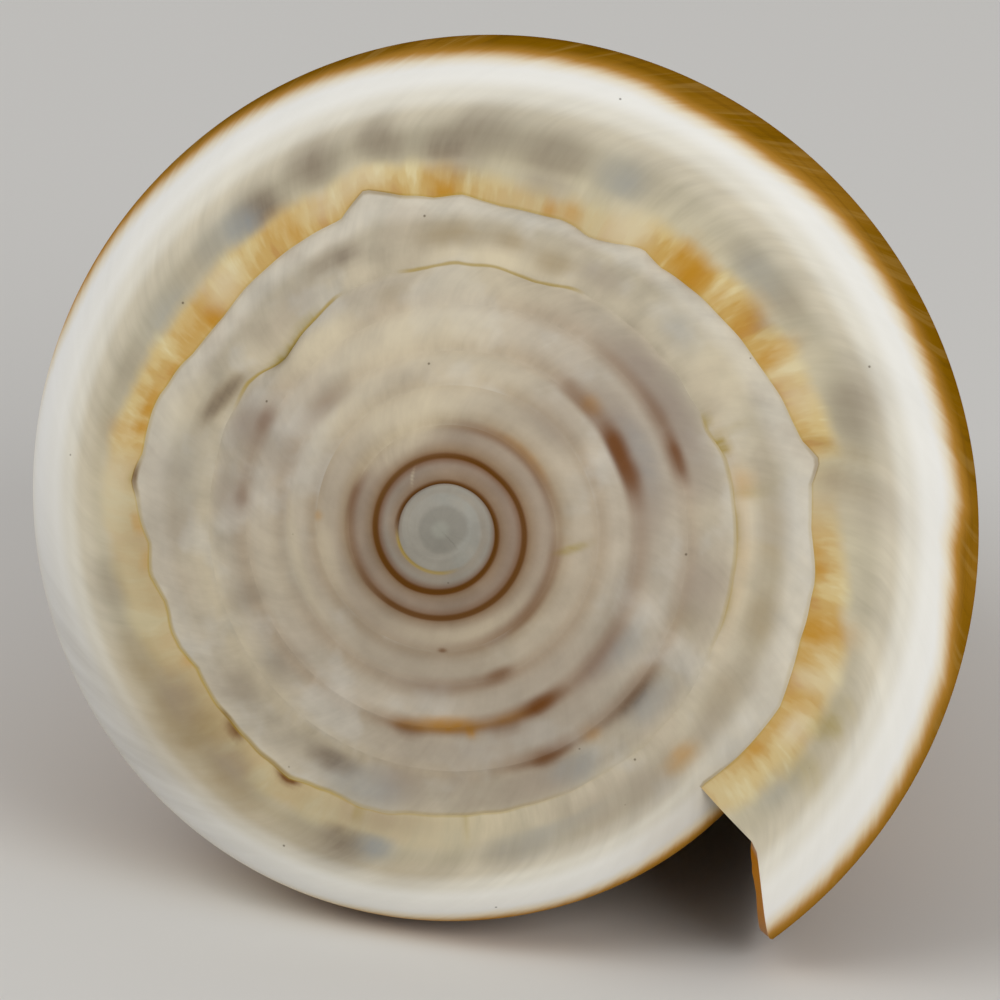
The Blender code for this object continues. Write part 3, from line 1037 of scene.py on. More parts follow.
        (6.38, 0.0), (6.5, 0.15), (6.7, 0.15), (6.78, 0.0), (7.62, 0.0), (7.68, 0.9), (7.88, 0.7),
        (7.95, 0.0),
    )),
    soft_line=Course((
        (1.9, 0.0), (1.94, 0.8), (1.955, 0.7), (1.965, 0.3), (2.03, 0.35), (2.045, 0.05),
        (2.155, 0.05), (2.17, 0.7), (2.185, 0.9), (2.2, 0.45), (2.26, 0.3), (2.28, 0.0),
        (2.54, 0.0), (2.55, 0.3), (2.58, 0.05), (2.615, 0.25), (2.63, 0.0), (2.815, 0.0),
        (2.84, 0.55), (2.87, 0.45), (2.93, 0.65), (2.95, 1.0), (2.965, 0.9), (2.985, 0.35),
        (3.03, 0.35), (3.06, 0.15), (3.14, 0.15), (3.165, 0.7), (3.185, 1.0), (3.21, 1.0),
        (3.23, 0.45), (3.27, 0.4), (3.29, 0.0), (3.48, 0.0), (3.51, 0.2), (3.54, 0.0),
        (3.83, 0.0), (3.88, 0.25), (3.93, 0.4), (3.97, 0.1), (4.1, 0.0), (4.85, 0.0), (4.95, 0.4),
        (5.0, 0.55), (5.09, 0.5), (5.13, 0.2), (5.22, 0.6), (5.32, 0.55), (5.4, 0.05),
        (5.53, 0.05), (5.57, 0.55), (5.64, 0.45), (5.72, 0.55), (5.8, 0.5), (6.1, 0.7),
        (6.55, 0.8), (6.78, 0.8), (7.1, 0.7), (7.2, 0.5), (7.6, 0.4), (7.68, 0.1), (7.95, 0.0),
        (8.05, 0.0),
    )),
    rim=Course((
        (0.0, 0.935), (0.05, 0.94), (0.1, 0.93), (0.118, 0.895), (0.14, 0.87), (0.155, 0.915),
        (0.18, 0.9), (0.22, 0.89), (0.26, 0.885), (0.285, 0.85), (0.32, 0.845), (0.335, 0.875),
        (0.4, 0.88), (0.45, 0.905), (0.5, 0.91), (0.55, 0.94), (0.58, 0.96), (0.62, 1.05),
        (0.8, 1.05), (0.86, 0.98), (0.91, 0.95), (0.94, 0.96), (0.97, 0.94), (1.0, 0.945),
    )),
    heart=Course((
        (8.85, 0.0), (9.0, 0.62), (9.1, 0.74), (9.2, 0.78), (9.3, 0.72), (9.4, 0.66), (9.5, 0.62),
        (9.6, 0.61), (9.8, 0.66), (10.0, 0.68),
    )),
)


class Pattern(Enum):
    """The patterns that break up the colours."""

    BROAD = "broad growth streaks"
    NARROW = "narrow growth streaks"
    BANKS = "very broad growth streaks"
    PORCELAIN = "streaks in the porcelain"
    ARCS = "arcs along the whorl"
    THREADS = "thin lines round the body"
    CLOUDS = "soft clouds"
    WISPS = "larger clouds"
    MIXED = "broad streaks and clouds"


# How many streaks of each kind there are in a turn, and how fast they change across.
STREAKS = {
    Pattern.BROAD: (55.0, 1.0),
    Pattern.NARROW: (170.0, 1.4),
    Pattern.BANKS: (7.0, 0.5),
    Pattern.PORCELAIN: (40.0, 2.0),
    Pattern.ARCS: (9.0, 4.0),
    Pattern.THREADS: (9.0, 46.0),
}
# How many clouds there are in a metre.
CLOUDS = {Pattern.CLOUDS: 900.0, Pattern.WISPS: 520.0}


class NodeSheet:
    """The nodes of one material or group, wired up one after another."""

    def __init__(self, tree: bpy.types.NodeTree) -> None:
        """Takes the tree that the nodes go into."""
        self.tree = tree

    def add(self, kind: str, **settings: object) -> bpy.types.Node:
        """Adds a node and sets its own settings.

        Args:
            kind: The node's type name.
            settings: The node's settings by name.

        Returns:
            The node.
        """
        node = self.tree.nodes.new(kind)
        for name, value in settings.items():
            setattr(node, name, value)
        return node

    def wire(self, value: float | Paint | Socket, socket: Socket) -> None:
        """Links a socket to another one, or sets its value.

        Args:
            value: The other socket, or the value.
            socket: The socket that takes it.
        """
        if isinstance(value, Socket):
            self.tree.links.new(value, socket)
        else:
            socket.default_value = value

    def math(self, operation: str, *values: float | Socket, clamp: bool = False) -> Socket:
        """Adds a Math node.

        Args:
            operation: Its operation.
            values: Its inputs.
            clamp: Whether the result stays between 0 and 1.

        Returns:
            Its output.
        """
        node = self.add("ShaderNodeMath", operation=operation, use_clamp=clamp)
        for value, socket in zip(values, node.inputs):
            self.wire(value, socket)
        return node.outputs[0]

    def plus(self, *values: float | Socket) -> Socket:
        """Returns the sum of two values."""
        return self.math("ADD", *values)

    def times(self, *values: float | Socket) -> Socket:
        """Returns the product of two values."""
        return self.math("MULTIPLY", *values)

    def blend(self, share: float | Socket, under: Paint | Socket, over: Paint | Socket,
              mode: str = "MIX") -> Socket:
        """Adds a node that lays one colour over another.

        Args:
            share: How much of the upper colour there is.
            under: The lower colour.
            over: The upper colour.
            mode: How they mix.

        Returns:
            The mixed colour.
        """
        node = self.add("ShaderNodeMix", data_type="RGBA", blend_type=mode, clamp_factor=True)
        for number, part in ((0, share), (6, under), (7, over)):
            self.wire(part, node.inputs[number])
        return node.outputs[2]

    def ramp(self, value: Socket, stops: tuple[Stop, ...]) -> Socket:
        """Adds a colour ramp.

        Args:
            value: Where on the ramp each place is.
            stops: The ramp's places and their colours.

        Returns:
            The colour.
        """
        node = self.add("ShaderNodeValToRGB")
        node.color_ramp.interpolation = "EASE"
        elements = node.color_ramp.elements
        while len(elements) < len(stops):
            elements.new(0.5)
        for element, (place, colour) in zip(elements, stops):
            element.position = place
            element.color = colour
        self.wire(value, node.inputs[0])
        return node.outputs[0]

    def span(self, value: Socket, start: float | Socket, end: float | Socket,
             low: float = 0.0, high: float | Socket = 1.0) -> Socket:
        """Adds a smooth step from one value to another.

        Args:
            value: What is looked at.
            start: Where the step starts.
            end: Where it ends.
            low: The result before the step.
            high: The result after it.

        Returns:
            The stepped value.
        """
        node = self.add("ShaderNodeMapRange", interpolation_type="SMOOTHSTEP")
        for number, part in enumerate((value, start, end, low, high)):
            self.wire(part, node.inputs[number])
        return node.outputs[0]

    def parts(self, place: Socket) -> tuple[Socket, Socket]:
        """Splits a place on the growth map.

        Args:
            place: The place.

        Returns:
            Its turns back from the lip, and its place across the whorl.
        """
        parts = self.add("ShaderNodeSeparateXYZ")
        self.wire(place, parts.inputs[0])
        return parts.outputs[0], parts.outputs[1]

    def texture(self, kind: str, place: Socket, **values: float) -> bpy.types.Node:
        """Adds a texture.

        Args:
            kind: The node's type name.
            place: The coordinates.
            values: Its inputs by name.

        Returns:
            The texture's node.
        """
        node = self.add(kind)
        self.wire(place, node.inputs["Vector"])
        for name, value in values.items():
            node.inputs[name].default_value = value
        return node

    def use(self, group: bpy.types.NodeTree, **values: float | Socket) -> Socket:
        """Adds a group.

        Args:
            group: The group's tree.
            values: Its inputs by name, with _ for a space.

        Returns:
            Its first output.
        """
        node = self.add("ShaderNodeGroup", node_tree=group)
        for name, value in values.items():
            self.wire(value, node.inputs[name.replace("_", " ")])
        return node.outputs[0]


@dataclass(frozen=True)
class Groups:
    """The node groups that the finishes share."""

    streaks: bpy.types.NodeTree
    relief: bpy.types.NodeTree
    line: bpy.types.NodeTree


def new_group(name: str, inputs: dict[str, str], output: str
              ) -> tuple[NodeSheet, dict[str, Socket], Socket]:
    """Starts a node group.

    Args:
        name: The group's name.
        inputs: Its inputs' names and socket types.
        output: Its output's name, a number.

    Returns:
        The sheet of its nodes, its inputs by name, and the socket that its result goes to.
    """
    tree = bpy.data.node_groups.new(name, "ShaderNodeTree")
    for label, kind in inputs.items():
        tree.interface.new_socket(label, in_out="INPUT", socket_type=kind)
    tree.interface.new_socket(output, in_out="OUTPUT", socket_type=NUMBER)
    sheet = NodeSheet(tree)
    entry, leave = sheet.add("NodeGroupInput"), sheet.add("NodeGroupOutput")
    return sheet, {label: entry.outputs[label] for label in inputs}, leave.inputs[0]


def growth_streaks(lean: float = 0.035) -> bpy.types.NodeTree:
    """Makes the group that draws streaks along the old growing edges.

    Args:
        lean: How far back the streaks lean at the widest line, in turns.

    Returns:
        The group, which takes how many streaks a turn has and how fast they change across.
    """
    inputs = {"Growth": PLACE, "Per Turn": NUMBER, "Across": NUMBER}
    sheet, given, result = new_group("growth streaks", inputs, "Streak")
    back, share = sheet.parts(given["Growth"])
    outwards = sheet.math("POWER", sheet.math("MINIMUM", share, 1.0), 2.0)
    along = sheet.plus(back, sheet.times(outwards, lean))
    place = sheet.add("ShaderNodeCombineXYZ")
    sheet.wire(sheet.times(along, given["Per Turn"]), place.inputs[0])
    sheet.wire(sheet.times(share, given["Across"]), place.inputs[1])
    noise_2d = sheet.texture("ShaderNodeTexNoise", place.outputs[0], Scale=1.0, Detail=4.0,
                             Roughness=0.6)
    noise_2d.noise_dimensions = "2D"
    sheet.wire(noise_2d.outputs[0], result)
    return sheet.tree


def fine_relief(streaks: bpy.types.NodeTree, thread_height: float = 0.35
                ) -> bpy.types.NodeTree:
    """Makes the group that gives the finest growth lines and spiral threads their height.

    Args:
        streaks: The group that draws growth streaks.
        thread_height: How high the threads are beside the growth lines.

    Returns:
        The group, whose output is a height for a Bump node.
    """
    sheet, given, result = new_group("fine relief", {"Growth": PLACE}, "Height")
    lines = sheet.use(streaks, Growth=given["Growth"], Per_Turn=420.0, Across=3.0)
    threads = sheet.use(streaks, Growth=given["Growth"], Per_Turn=6.0, Across=70.0)
    sheet.wire(sheet.plus(lines, sheet.times(threads, thread_height)), result)
    return sheet.tree


def seam_line() -> bpy.types.NodeTree:
    """Makes the group that draws a line along the suture.

    Returns:
        The group, which takes the line's half width in millimetres, how soft its sides are,
        from 0 to 1, and its strength.
    """
    names = ("Distance", "Half Width", "Softness", "Strength")
    sheet, given, result = new_group("seam line", dict.fromkeys(names, NUMBER), "Mask")
    across = sheet.math("DIVIDE", sheet.math("ABSOLUTE", given["Distance"]), given["Half Width"])
    outer = sheet.plus(1.0, given["Softness"])
    inner = sheet.math("SUBTRACT", 1.0, given["Softness"])
    sheet.wire(sheet.times(sheet.span(across, outer, inner), given["Strength"]), result)
    return sheet.tree


class Painting(NodeSheet):
    """A material of the shell, and the colour that is being laid on in it.

    Attributes:
        material: The material.
        shader: Its shader's inputs.
        groups: The node groups.
        growth: The growth map.
        back: Turns back from the lip.
        share: The place across the whorl.
        patterns: The patterns made so far.
        colour: The colour so far.
    """

    def __init__(self, name: str, groups: Groups) -> None:
        """Starts the material.

        Args:
            name: The material's name.
            groups: The node groups.
        """
        self.material = bpy.data.materials.new(name)
        self.material.use_nodes = True
        super().__init__(self.material.node_tree)
        self.shader = self.tree.nodes["Principled BSDF"].inputs
        self.groups = groups
        self.growth = self.add("ShaderNodeUVMap", uv_map=GROWTH_MAP).outputs[0]
        self.back, self.share = self.parts(self.growth)
        self.patterns: dict[Pattern, Socket] = {}
        self.colour: Paint | Socket = paint(255, 255, 255)

    def lay(self, share: float | Socket, over: Paint | Socket, mode: str = "MIX") -> None:
        """Lays a colour over the colour so far."""
        self.colour = self.blend(share, self.colour, over, mode)

    def mark(self, name: str) -> Socket:
        """Adds a node that reads one of the shell's own masks."""
        return self.add("ShaderNodeAttribute", attribute_name=name).outputs["Fac"]

    def along(self, span: Span) -> Socket:
        """Adds a smooth step back from the lip."""
        return self.span(self.back, *span)

    def across(self, span: Span) -> Socket:
        """Adds a smooth step across the whorl."""
        return self.span(self.share, *span)

    def marked(self, name: str, span: Span) -> Socket:
        """Adds a smooth step on one of the shell's own masks."""
        return self.span(self.mark(name), *span)

    def stepped(self, pattern: Pattern, span: Span) -> Socket:
        """Adds a smooth step on a pattern."""
        return self.span(self.pattern(pattern), *span)

    def scaled(self, pattern: Pattern, factor: float, offset: float | Socket) -> Socket:
        """Returns a pattern times a factor, plus an offset."""
        return self.math("MULTIPLY_ADD", self.pattern(pattern), factor, offset)

    def on_object(self, kind: str, **values: float) -> bpy.types.Node:
        """Adds a texture that fills the space round the object."""
        return self.texture(kind, self.add("ShaderNodeTexCoord").outputs["Object"], **values)

    def pattern(self, pattern: Pattern) -> Socket:
        """Gives a pattern, which is made when it is first asked for.

        Args:
            pattern: Which one.

        Returns:
            Its value, from 0 to 1.
        """
        if pattern in self.patterns:
            return self.patterns[pattern]
        if pattern in CLOUDS:
            clouds = self.on_object("ShaderNodeTexNoise", Scale=CLOUDS[pattern], Detail=3.0)
            made = clouds.outputs[0]
        elif pattern in STREAKS:
            per_turn, across = STREAKS[pattern]
            made = self.use(self.groups.streaks, Growth=self.growth, Per_Turn=per_turn,
                            Across=across)
        else:
            both = self.plus(self.pattern(Pattern.BROAD), self.pattern(Pattern.CLOUDS))
            made = self.times(both, 0.5)
        self.patterns[pattern] = made
        return made


@dataclass(frozen=True)
class Finish:
    """What both finishes of the shell have: a polish, and fine relief.

    Attributes:
        name: The material's name.
        roughness: How matt it is.
        specular: How much it reflects.
        line_depth: How high its finest relief is.
    """

    name: str
    roughness: float
    specular: float
    line_depth: float

    def make(self, groups: Groups) -> bpy.types.Material:
        """Makes the material.

        Args:
            groups: The node groups.

        Returns:
            The material.
        """
        on = Painting(self.name, groups)
        on.shader["Roughness"].default_value = self.roughness
        on.shader["Specular IOR Level"].default_value = self.specular
        self.paint_on(on)
        on.wire(on.colour, on.shader["Base Color"])
        bump = on.add("ShaderNodeBump")
        bump.inputs["Strength"].default_value = 1.0
        bump.inputs["Distance"].default_value = self.line_depth
        on.wire(self.relief(on), bump.inputs["Height"])
        on.wire(bump.outputs[0], on.shader["Normal"])
        return on.material

    def paint_on(self, on: Painting) -> None:
        """Lays on the colours, which each finish has its own way of."""
        raise NotImplementedError

    def relief(self, on: Painting) -> Socket:
        """Returns the height of the finest relief, from 0 to 1."""
        return on.use(on.groups.relief, Growth=on.growth)


@dataclass(frozen=True)
class SutureLine:
    """A line along the suture.

    Attributes:
        mask: The mask that says how strong it is at each place.
        colour: Its colour.
        softness: How soft its sides are, from 0 to 1.
        strength: How strong it is at its strongest.
    """

    mask: str
    colour: Paint
    softness: float
    strength: float

    def draw(self, on: Painting, distance: Socket, half_width: float | Socket) -> None:
        """Draws the line.

        Args:
            on: The material.
            distance: How far each place is from the line's middle, in millimetres.
            half_width: Half its width, in millimetres.
        """
        line = on.use(on.groups.line, Distance=distance, Half_Width=half_width,
                      Softness=self.softness, Strength=on.mark(self.mask))
        on.lay(on.times(line, self.strength), self.colour)


@dataclass(frozen=True)
class Wash:
    """How one pigment's patches are painted.

    Attributes:
        pigment: Which pigment it is.
        colour: Its colour.
        pattern: The pattern that breaks up its edges.
        strength: How strong it is at its strongest.
        off_band: Whether it keeps off the stained band.
    """

    pigment: Pigment
    colour: Paint
    pattern: Pattern
    strength: float
    off_band: bool = False


@dataclass(frozen=True)
class OutsideFinish(Finish):
    """The shell's outside: the ramp's stains, the white shoulder and the golden body.

    Its gloss is a thin coat, which is missing from the golden rim that the eye meets edge on.
    """

    name: str = "shell outside"
    roughness: float = 0.42
    specular: float = 0.0
    line_depth: float = 0.012 * MM
    gloss_to_rim: Span = (0.0, 0.06, 0.2, 0.0)
    gloss_on_body: Span = (1.08, 1.4, 0.0, 0.2)
    lined: Span = (0.75, 1.05, 0.15, 1.0)

    # The ground's ramps. The spire's run from the lip to ramp_turns back.
    ramp_turns: float = 10.0
    # The last whorl's ramp is darkest in its hollow middle, about 0.38 across: partly its own
    # colour, partly painted shade.
    last_whorl: tuple[Stop, ...] = (
        (0.0, paint(198, 187, 156)), (0.22, paint(194, 184, 156)), (0.38, paint(186, 177, 153)),
        (0.52, paint(200, 191, 169)), (0.64, paint(222, 217, 202)), (0.76, paint(238, 236, 228)),
        (0.90, paint(243, 242, 237)), (1.0, paint(238, 235, 226)),
    )
    spire_seam: tuple[Stop, ...] = (
        (0.10, paint(192, 181, 158)), (0.17, paint(187, 175, 150)), (0.20, paint(174, 159, 138)),
        (0.35, paint(172, 156, 134)), (0.45, paint(168, 152, 129)), (0.52, paint(160, 142, 116)),
        (0.62, paint(140, 117, 90)), (0.74, paint(136, 114, 90)), (0.80, paint(148, 140, 126)),
        (0.88, paint(151, 149, 139)), (1.0, paint(151, 149, 139)),
    )
    spire_middle: tuple[Stop, ...] = (
        (0.10, paint(184, 174, 151)), (0.20, paint(177, 166, 146)), (0.35, paint(182, 171, 153)),
        (0.45, paint(181, 169, 149)), (0.52, paint(177, 164, 143)), (0.62, paint(158, 142, 123)),
        (0.72, paint(139, 120, 102)), (0.80, paint(148, 142, 130)), (0.88, paint(151, 149, 139)),
        (1.0, paint(151, 149, 139)),
    )
    beyond_seam: Span = (0.06, 0.42, 1.0, 0.0)
    at_seam: Span = (0.0, 0.08, 0.7, 1.0)
    before_seam: Span = (0.56, 0.71, 0.0, 0.7)
    crest_across: Span = (0.40, 0.58, 0.0, 1.0)
    crest_back: Span = (1.5, 1.9, 0.55, 0.0)
    crest: Paint = paint(212, 206, 192)
    wisps_back: Span = (4.5, 5.8, 0.4, 0.0)
    pale_wisps: tuple[float, float] = (0.50, 0.66)
    pale_wisp: Paint = paint(198, 194, 184)
    dark_wisps: Span = (0.50, 0.36, 0.0, 0.22)
    dark_wisp: Paint = paint(158, 142, 122)
    fading_back: Span = (0.84, 0.98, 0.0, 1.0)
    fading_across: Span = (0.45, 0.65, 1.0, 0.0)
    spire_back: Span = (0.98, 1.02, 0.0, 1.0)
    core_reach: Span = (0.12, 0.34, 0.0, 1.0)
    core: Paint = paint(149, 147, 135)
    heart_reach: Span = (-0.12, 0.06, 1.0, 0.0)
    heart: Paint = paint(138, 134, 123)

    # How far each pattern lightens and darkens the ground: a factor and an offset.
    broad_shade: tuple[float, float] = (0.5, -0.25)
    narrow_shade: tuple[float, float] = (0.25, -0.125)
    arc_shade: tuple[float, float] = (0.12, -0.06)
    cloud_shade: tuple[float, float] = (0.5, -0.25)
    aged_back: Span = (0.9, 1.1, 0.0, 1.0)
    young_across: Span = (0.45, 0.75, 1.0, 0.15)
    radial_back: Span = (1.8, 6.0, 0.6, 0.15)

    stain: tuple[Stop, ...] = (
        (0.28, paint(222, 206, 156)), (0.46, paint(208, 181, 118)), (0.62, paint(194, 155, 76)),
        (0.80, paint(181, 130, 46)),
    )
    stain_broad: tuple[float, float] = (1.15, -0.09)
    stain_at_seam: Span = (0.0, 0.2, 0.13, -0.03)
    stain_ragged: tuple[float, float] = (0.16, -0.08)
    stain_edge: Span = (-0.08, 0.05, 0.9, 0.0)
    off_band_across: Span = (0.18, 0.28, 0.0, 1.0)
    off_band_back: Span = (0.96, 1.02, 0.0, 1.0)
    breaking: tuple[float, float] = (1.6, 0.2)
    washes: tuple[Wash, ...] = (
        Wash(Pigment.CREAM, paint(216, 203, 172), Pattern.MIXED, 0.8),
        # The tan and slate washes also lay a few patches of painted shade.
        Wash(Pigment.TAN_AND_SHADE, paint(142, 120, 80), Pattern.MIXED, 0.8),
        Wash(Pigment.VIOLET, paint(144, 130, 117), Pattern.MIXED, 0.8),
        Wash(Pigment.SLATE_AND_SHADE, paint(110, 95, 79), Pattern.BROAD, 0.85, off_band=True),
        Wash(Pigment.HAZE, paint(142, 145, 144), Pattern.BROAD, 0.85, off_band=True),
        Wash(Pigment.OLIVE, paint(150, 130, 48), Pattern.NARROW, 0.8),
        Wash(Pigment.ORANGE, paint(184, 130, 24), Pattern.MIXED, 0.85),
        Wash(Pigment.RUST, paint(100, 58, 12), Pattern.CLOUDS, 0.9),
    )

    # The lines along the sutures, in millimetres.
    soft_shift: Span = (3.2, 6.2, 0.10, -0.04)
    soft_width: Span = (3.2, 5.6, 0.2, 0.13)
    soft_line: SutureLine = SutureLine("soft_line", paint(104, 58, 6), 0.9, 0.9)
    line_wander: Span = (1.2, 2.2, 0.12, 0.0)
    olive_width: float = 0.05
    olive_line: SutureLine = SutureLine("olive_line", paint(164, 138, 54), 0.7, 0.85)
    dark_shift: Span = (4.6, 5.8, 0.0, 0.01)
    dark_width: Span = (4.6, 5.8, 0.05, 0.074)
    # The dark line paints shadow into the notches of the last suture, and draws the spire's brown
    # line.
    dark_line: SutureLine = SutureLine("dark_line", paint(92, 54, 0), 0.5, 0.95)

    specks_scale: float = 900.0
    speck_share: float = 0.5
    speck_radius: Span = (0.015, 0.045, 0.7, 0.0)
    speck: Paint = paint(74, 62, 40)

    body: tuple[Stop, ...] = (
        (0.0, paint(136, 94, 5)), (0.06, paint(126, 86, 6)), (0.22, paint(152, 104, 20)),
        (0.31, paint(176, 132, 58)), (0.40, paint(160, 112, 32)), (0.62, paint(172, 124, 44)),
        (0.72, paint(190, 150, 84)), (0.88, paint(196, 160, 98)), (1.0, paint(218, 200, 164)),
    )
    skin_layers: tuple[tuple[Pattern, Span, Paint], ...] = (
        (Pattern.BANKS, (0.42, 0.60, 0.0, 0.6), paint(166, 118, 36)),
        (Pattern.THREADS, (0.46, 0.62, 0.0, 0.26), paint(104, 68, 10)),
        (Pattern.NARROW, (0.52, 0.70, 0.0, 0.18), paint(205, 170, 100)),
        (Pattern.NARROW, (0.44, 0.32, 0.0, 0.30), paint(96, 66, 6)),
    )
    bare_back: Span = (0.99, 1.03, 0.0, 1.0)
    bare: Paint = paint(214, 206, 196)
    rim_ragged: tuple[float, float] = (0.035, -0.018)
    rim_layers: tuple[tuple[Span, Paint], ...] = (
        ((-0.085, 0.01, 0.0, 0.7), paint(228, 204, 152)),
        ((-0.03, 0.04, 0.0, 0.95), paint(190, 134, 40)),
    )
    skin_edge: Span = (0.005, 0.085, 0.0, 1.0)

    def paint_on(self, on: Painting) -> None:
        """Lays on the colours, from the ground up, and the gloss.

        Args:
            on: The material.
        """
        self.ground(on)
        self.shading(on)
        self.stains(on)
        self.lines(on)
        self.specks(on)
        self.skin(on)
        gloss = on.plus(on.marked("rim", self.gloss_to_rim), on.across(self.gloss_on_body))
        on.wire(gloss, on.shader["Coat Weight"])
        on.shader["Coat Roughness"].default_value = self.roughness

    def relief(self, on: Painting) -> Socket:
        """Returns the height of the finest relief, which is lower on the ramp."""
        return on.times(super().relief(on), on.across(self.lined))

    def ground(self, on: Painting) -> None:
        """Lays the ground colour of the ramp, the shoulder and the first whorl.

        Args:
            on: The material.
        """
        inwards = on.math("DIVIDE", on.back, self.ramp_turns)
        next_inwards = on.math("SUBTRACT", inwards, 1.0 / self.ramp_turns)
        beyond = on.times(on.across(self.beyond_seam), on.across(self.at_seam))
        on.colour = on.ramp(inwards, self.spire_middle)
        on.lay(beyond, on.ramp(inwards, self.spire_seam))
        on.lay(on.across(self.before_seam), on.ramp(next_inwards, self.spire_seam))
        on.lay(on.times(on.across(self.crest_across), on.along(self.crest_back)), self.crest)
        wisps = on.pattern(Pattern.WISPS)
        pale = on.span(wisps, *self.pale_wisps, 0.0, on.along(self.wisps_back))
        on.lay(pale, self.pale_wisp)
        on.lay(on.stepped(Pattern.WISPS, self.dark_wisps), self.dark_wisp)
        spire = on.colour
        fading = on.times(on.along(self.fading_back), on.across(self.fading_across))
        on.colour = on.ramp(on.share, self.last_whorl)
        on.lay(on.math("MAXIMUM", fading, on.along(self.spire_back)), spire)
        deep = on.blend(on.marked("from_axis", self.core_reach), self.core, self.heart)
        on.lay(on.marked("past_heart", self.heart_reach), deep)

    def shading(self, on: Painting) -> None:
        """Varies the ground: along the growth lines first, then in soft arcs on the old whorls.

        Args:
            on: The material.
        """
        streak = on.plus(on.scaled(Pattern.BROAD, *self.broad_shade),
                         on.scaled(Pattern.NARROW, *self.narrow_shade))
        clouded = on.plus(on.scaled(Pattern.ARCS, *self.arc_shade),
                          on.scaled(Pattern.CLOUDS, *self.cloud_shade))
        old = on.along(self.aged_back)
        young = on.times(on.times(streak, on.across(self.young_across)),
                         on.math("SUBTRACT", 1.0, old))
        radial = on.times(streak, on.along(self.radial_back))
        aged = on.times(on.plus(clouded, radial), old)
        shade = on.plus(on.plus(young, aged), 1.0)
        tint = on.add("ShaderNodeCombineColor")
        for socket in tint.inputs[:3]:
            on.wire(shade, socket)
        on.lay(1.0, tint.outputs[0], "MULTIPLY")

    def stains(self, on: Painting) -> None:
        """Lays the stained band and the patches of pigment over the ground; a few tan and slate
        patches are painted shade.

        Args:
            on: The material.
        """
        streak = on.plus(on.scaled(Pattern.BROAD, *self.stain_broad),
                         on.scaled(Pattern.NARROW, *self.narrow_shade))
        streak = on.plus(streak, on.across(self.stain_at_seam))
        past = on.plus(on.mark("past_stain"), on.scaled(Pattern.BROAD, *self.stain_ragged))
        band = on.times(on.span(past, *self.stain_edge), on.mark("stain"))
        on.lay(band, on.ramp(streak, self.stain))
        clear = on.math("MAXIMUM", on.across(self.off_band_across), on.along(self.off_band_back))
        for wash in self.washes:
            strength = on.times(clear, wash.strength) if wash.off_band else wash.strength
            broken = on.scaled(wash.pattern, *self.breaking)
            patch = on.math("MULTIPLY", on.mark(wash.pigment.value), broken, clamp=True)
            on.lay(on.times(patch, strength), wash.colour)

    def lines(self, on: Painting) -> None:
        """Draws the lines along the sutures: a soft brown one, and thin ones in its middle.

        Args:
            on: The material.
        """
        from_suture = on.mark("from_suture")
        outwards = on.math("SUBTRACT", from_suture, on.along(self.soft_shift))
        self.soft_line.draw(on, outwards, on.along(self.soft_width))
        wander = on.times(on.math("SUBTRACT", on.pattern(Pattern.CLOUDS), 0.5),
                          on.along(self.line_wander))
        distance = on.plus(from_suture, wander)
        self.olive_line.draw(on, distance, self.olive_width)
        before = on.plus(distance, on.along(self.dark_shift))
        self.dark_line.draw(on, before, on.along(self.dark_width))

    def specks(self, on: Painting) -> None:
        """Scatters a few tiny dark specks of dirt over the shell.

        Args:
            on: The material.
        """
        cells = on.on_object("ShaderNodeTexVoronoi", Scale=self.specks_scale)
        chosen = on.math("GREATER_THAN", cells.outputs["Color"], self.speck_share)
        speck = on.span(cells.outputs["Distance"], *self.speck_radius)
        on.lay(on.times(chosen, speck), self.speck)

    def skin(self, on: Painting) -> None:
        """Lays the golden skin of the body over the white shoulder.

        Args:
            on: The material.
        """
        shoulder = on.colour
        on.colour = on.ramp(on.math("SUBTRACT", on.share, 1.0, clamp=True), self.body)
        for pattern, span, over in self.skin_layers:
            on.lay(on.stepped(pattern, span), over)
        on.lay(on.along(self.bare_back), self.bare)
        skin, on.colour = on.colour, shoulder
        edge = on.plus(on.mark("rim"), on.scaled(Pattern.NARROW, *self.rim_ragged))
        for span, over in self.rim_layers:
            on.lay(on.span(edge, *span), over)
        on.lay(on.span(edge, *self.skin_edge), skin)


@dataclass(frozen=True)
class InsideFinish(Finish):
    """The smooth porcelain inside the lip, with the skin's colour on the lip's cut edge."""

    name: str = "shell inside"
    roughness: float = 0.28
    specular: float = 0.3
    line_depth: float = 0.006 * MM
    shade: Paint = paint(226, 218, 208)
    porcelain: Paint = paint(236, 231, 222)
    cloudy: Span = (0.3, 0.7, 0.0, 1.0)
    edge_ragged: float = 0.006
    edge_back: Span = (0.012, 0.004, 0.0, 1.0)
    edge_across: Span = (0.45, 0.6, 0.0, 1.0)
    cut_edge: Paint = paint(184, 116, 0)

    def paint_on(self, on: Painting) -> None:
        """Lays on the porcelain and the lip's cut edge.

        Args:
            on: The material.
        """
        on.colour = self.shade
        on.lay(on.stepped(Pattern.PORCELAIN, self.cloudy), self.porcelain)
        from_lip = on.scaled(Pattern.PORCELAIN, self.edge_ragged, on.back)
        edge = on.times(on.span(from_lip, *self.edge_back), on.across(self.edge_across))
        on.lay(edge, self.cut_edge)


def dress(shell: bpy.types.Object, growth: Growth) -> None:
    """Gives the shell its masks and its two finishes.

    Args:
        shell: The shell's object.
        growth: The law of the shell.
    """
    SHELL_MARKINGS.lay_on(shell.data, growth)
    streaks = growth_streaks()
    groups = Groups(streaks, fine_relief(streaks), seam_line())
    for finish in (OutsideFinish(), InsideFinish()):
        shell.data.materials.append(finish.make(groups))
    inside = np.zeros(len(shell.data.polygons), dtype=np.int32)
    shell.data.attributes["inside"].data.foreach_get("value", inside)
    shell.data.polygons.foreach_set("material_index", inside)


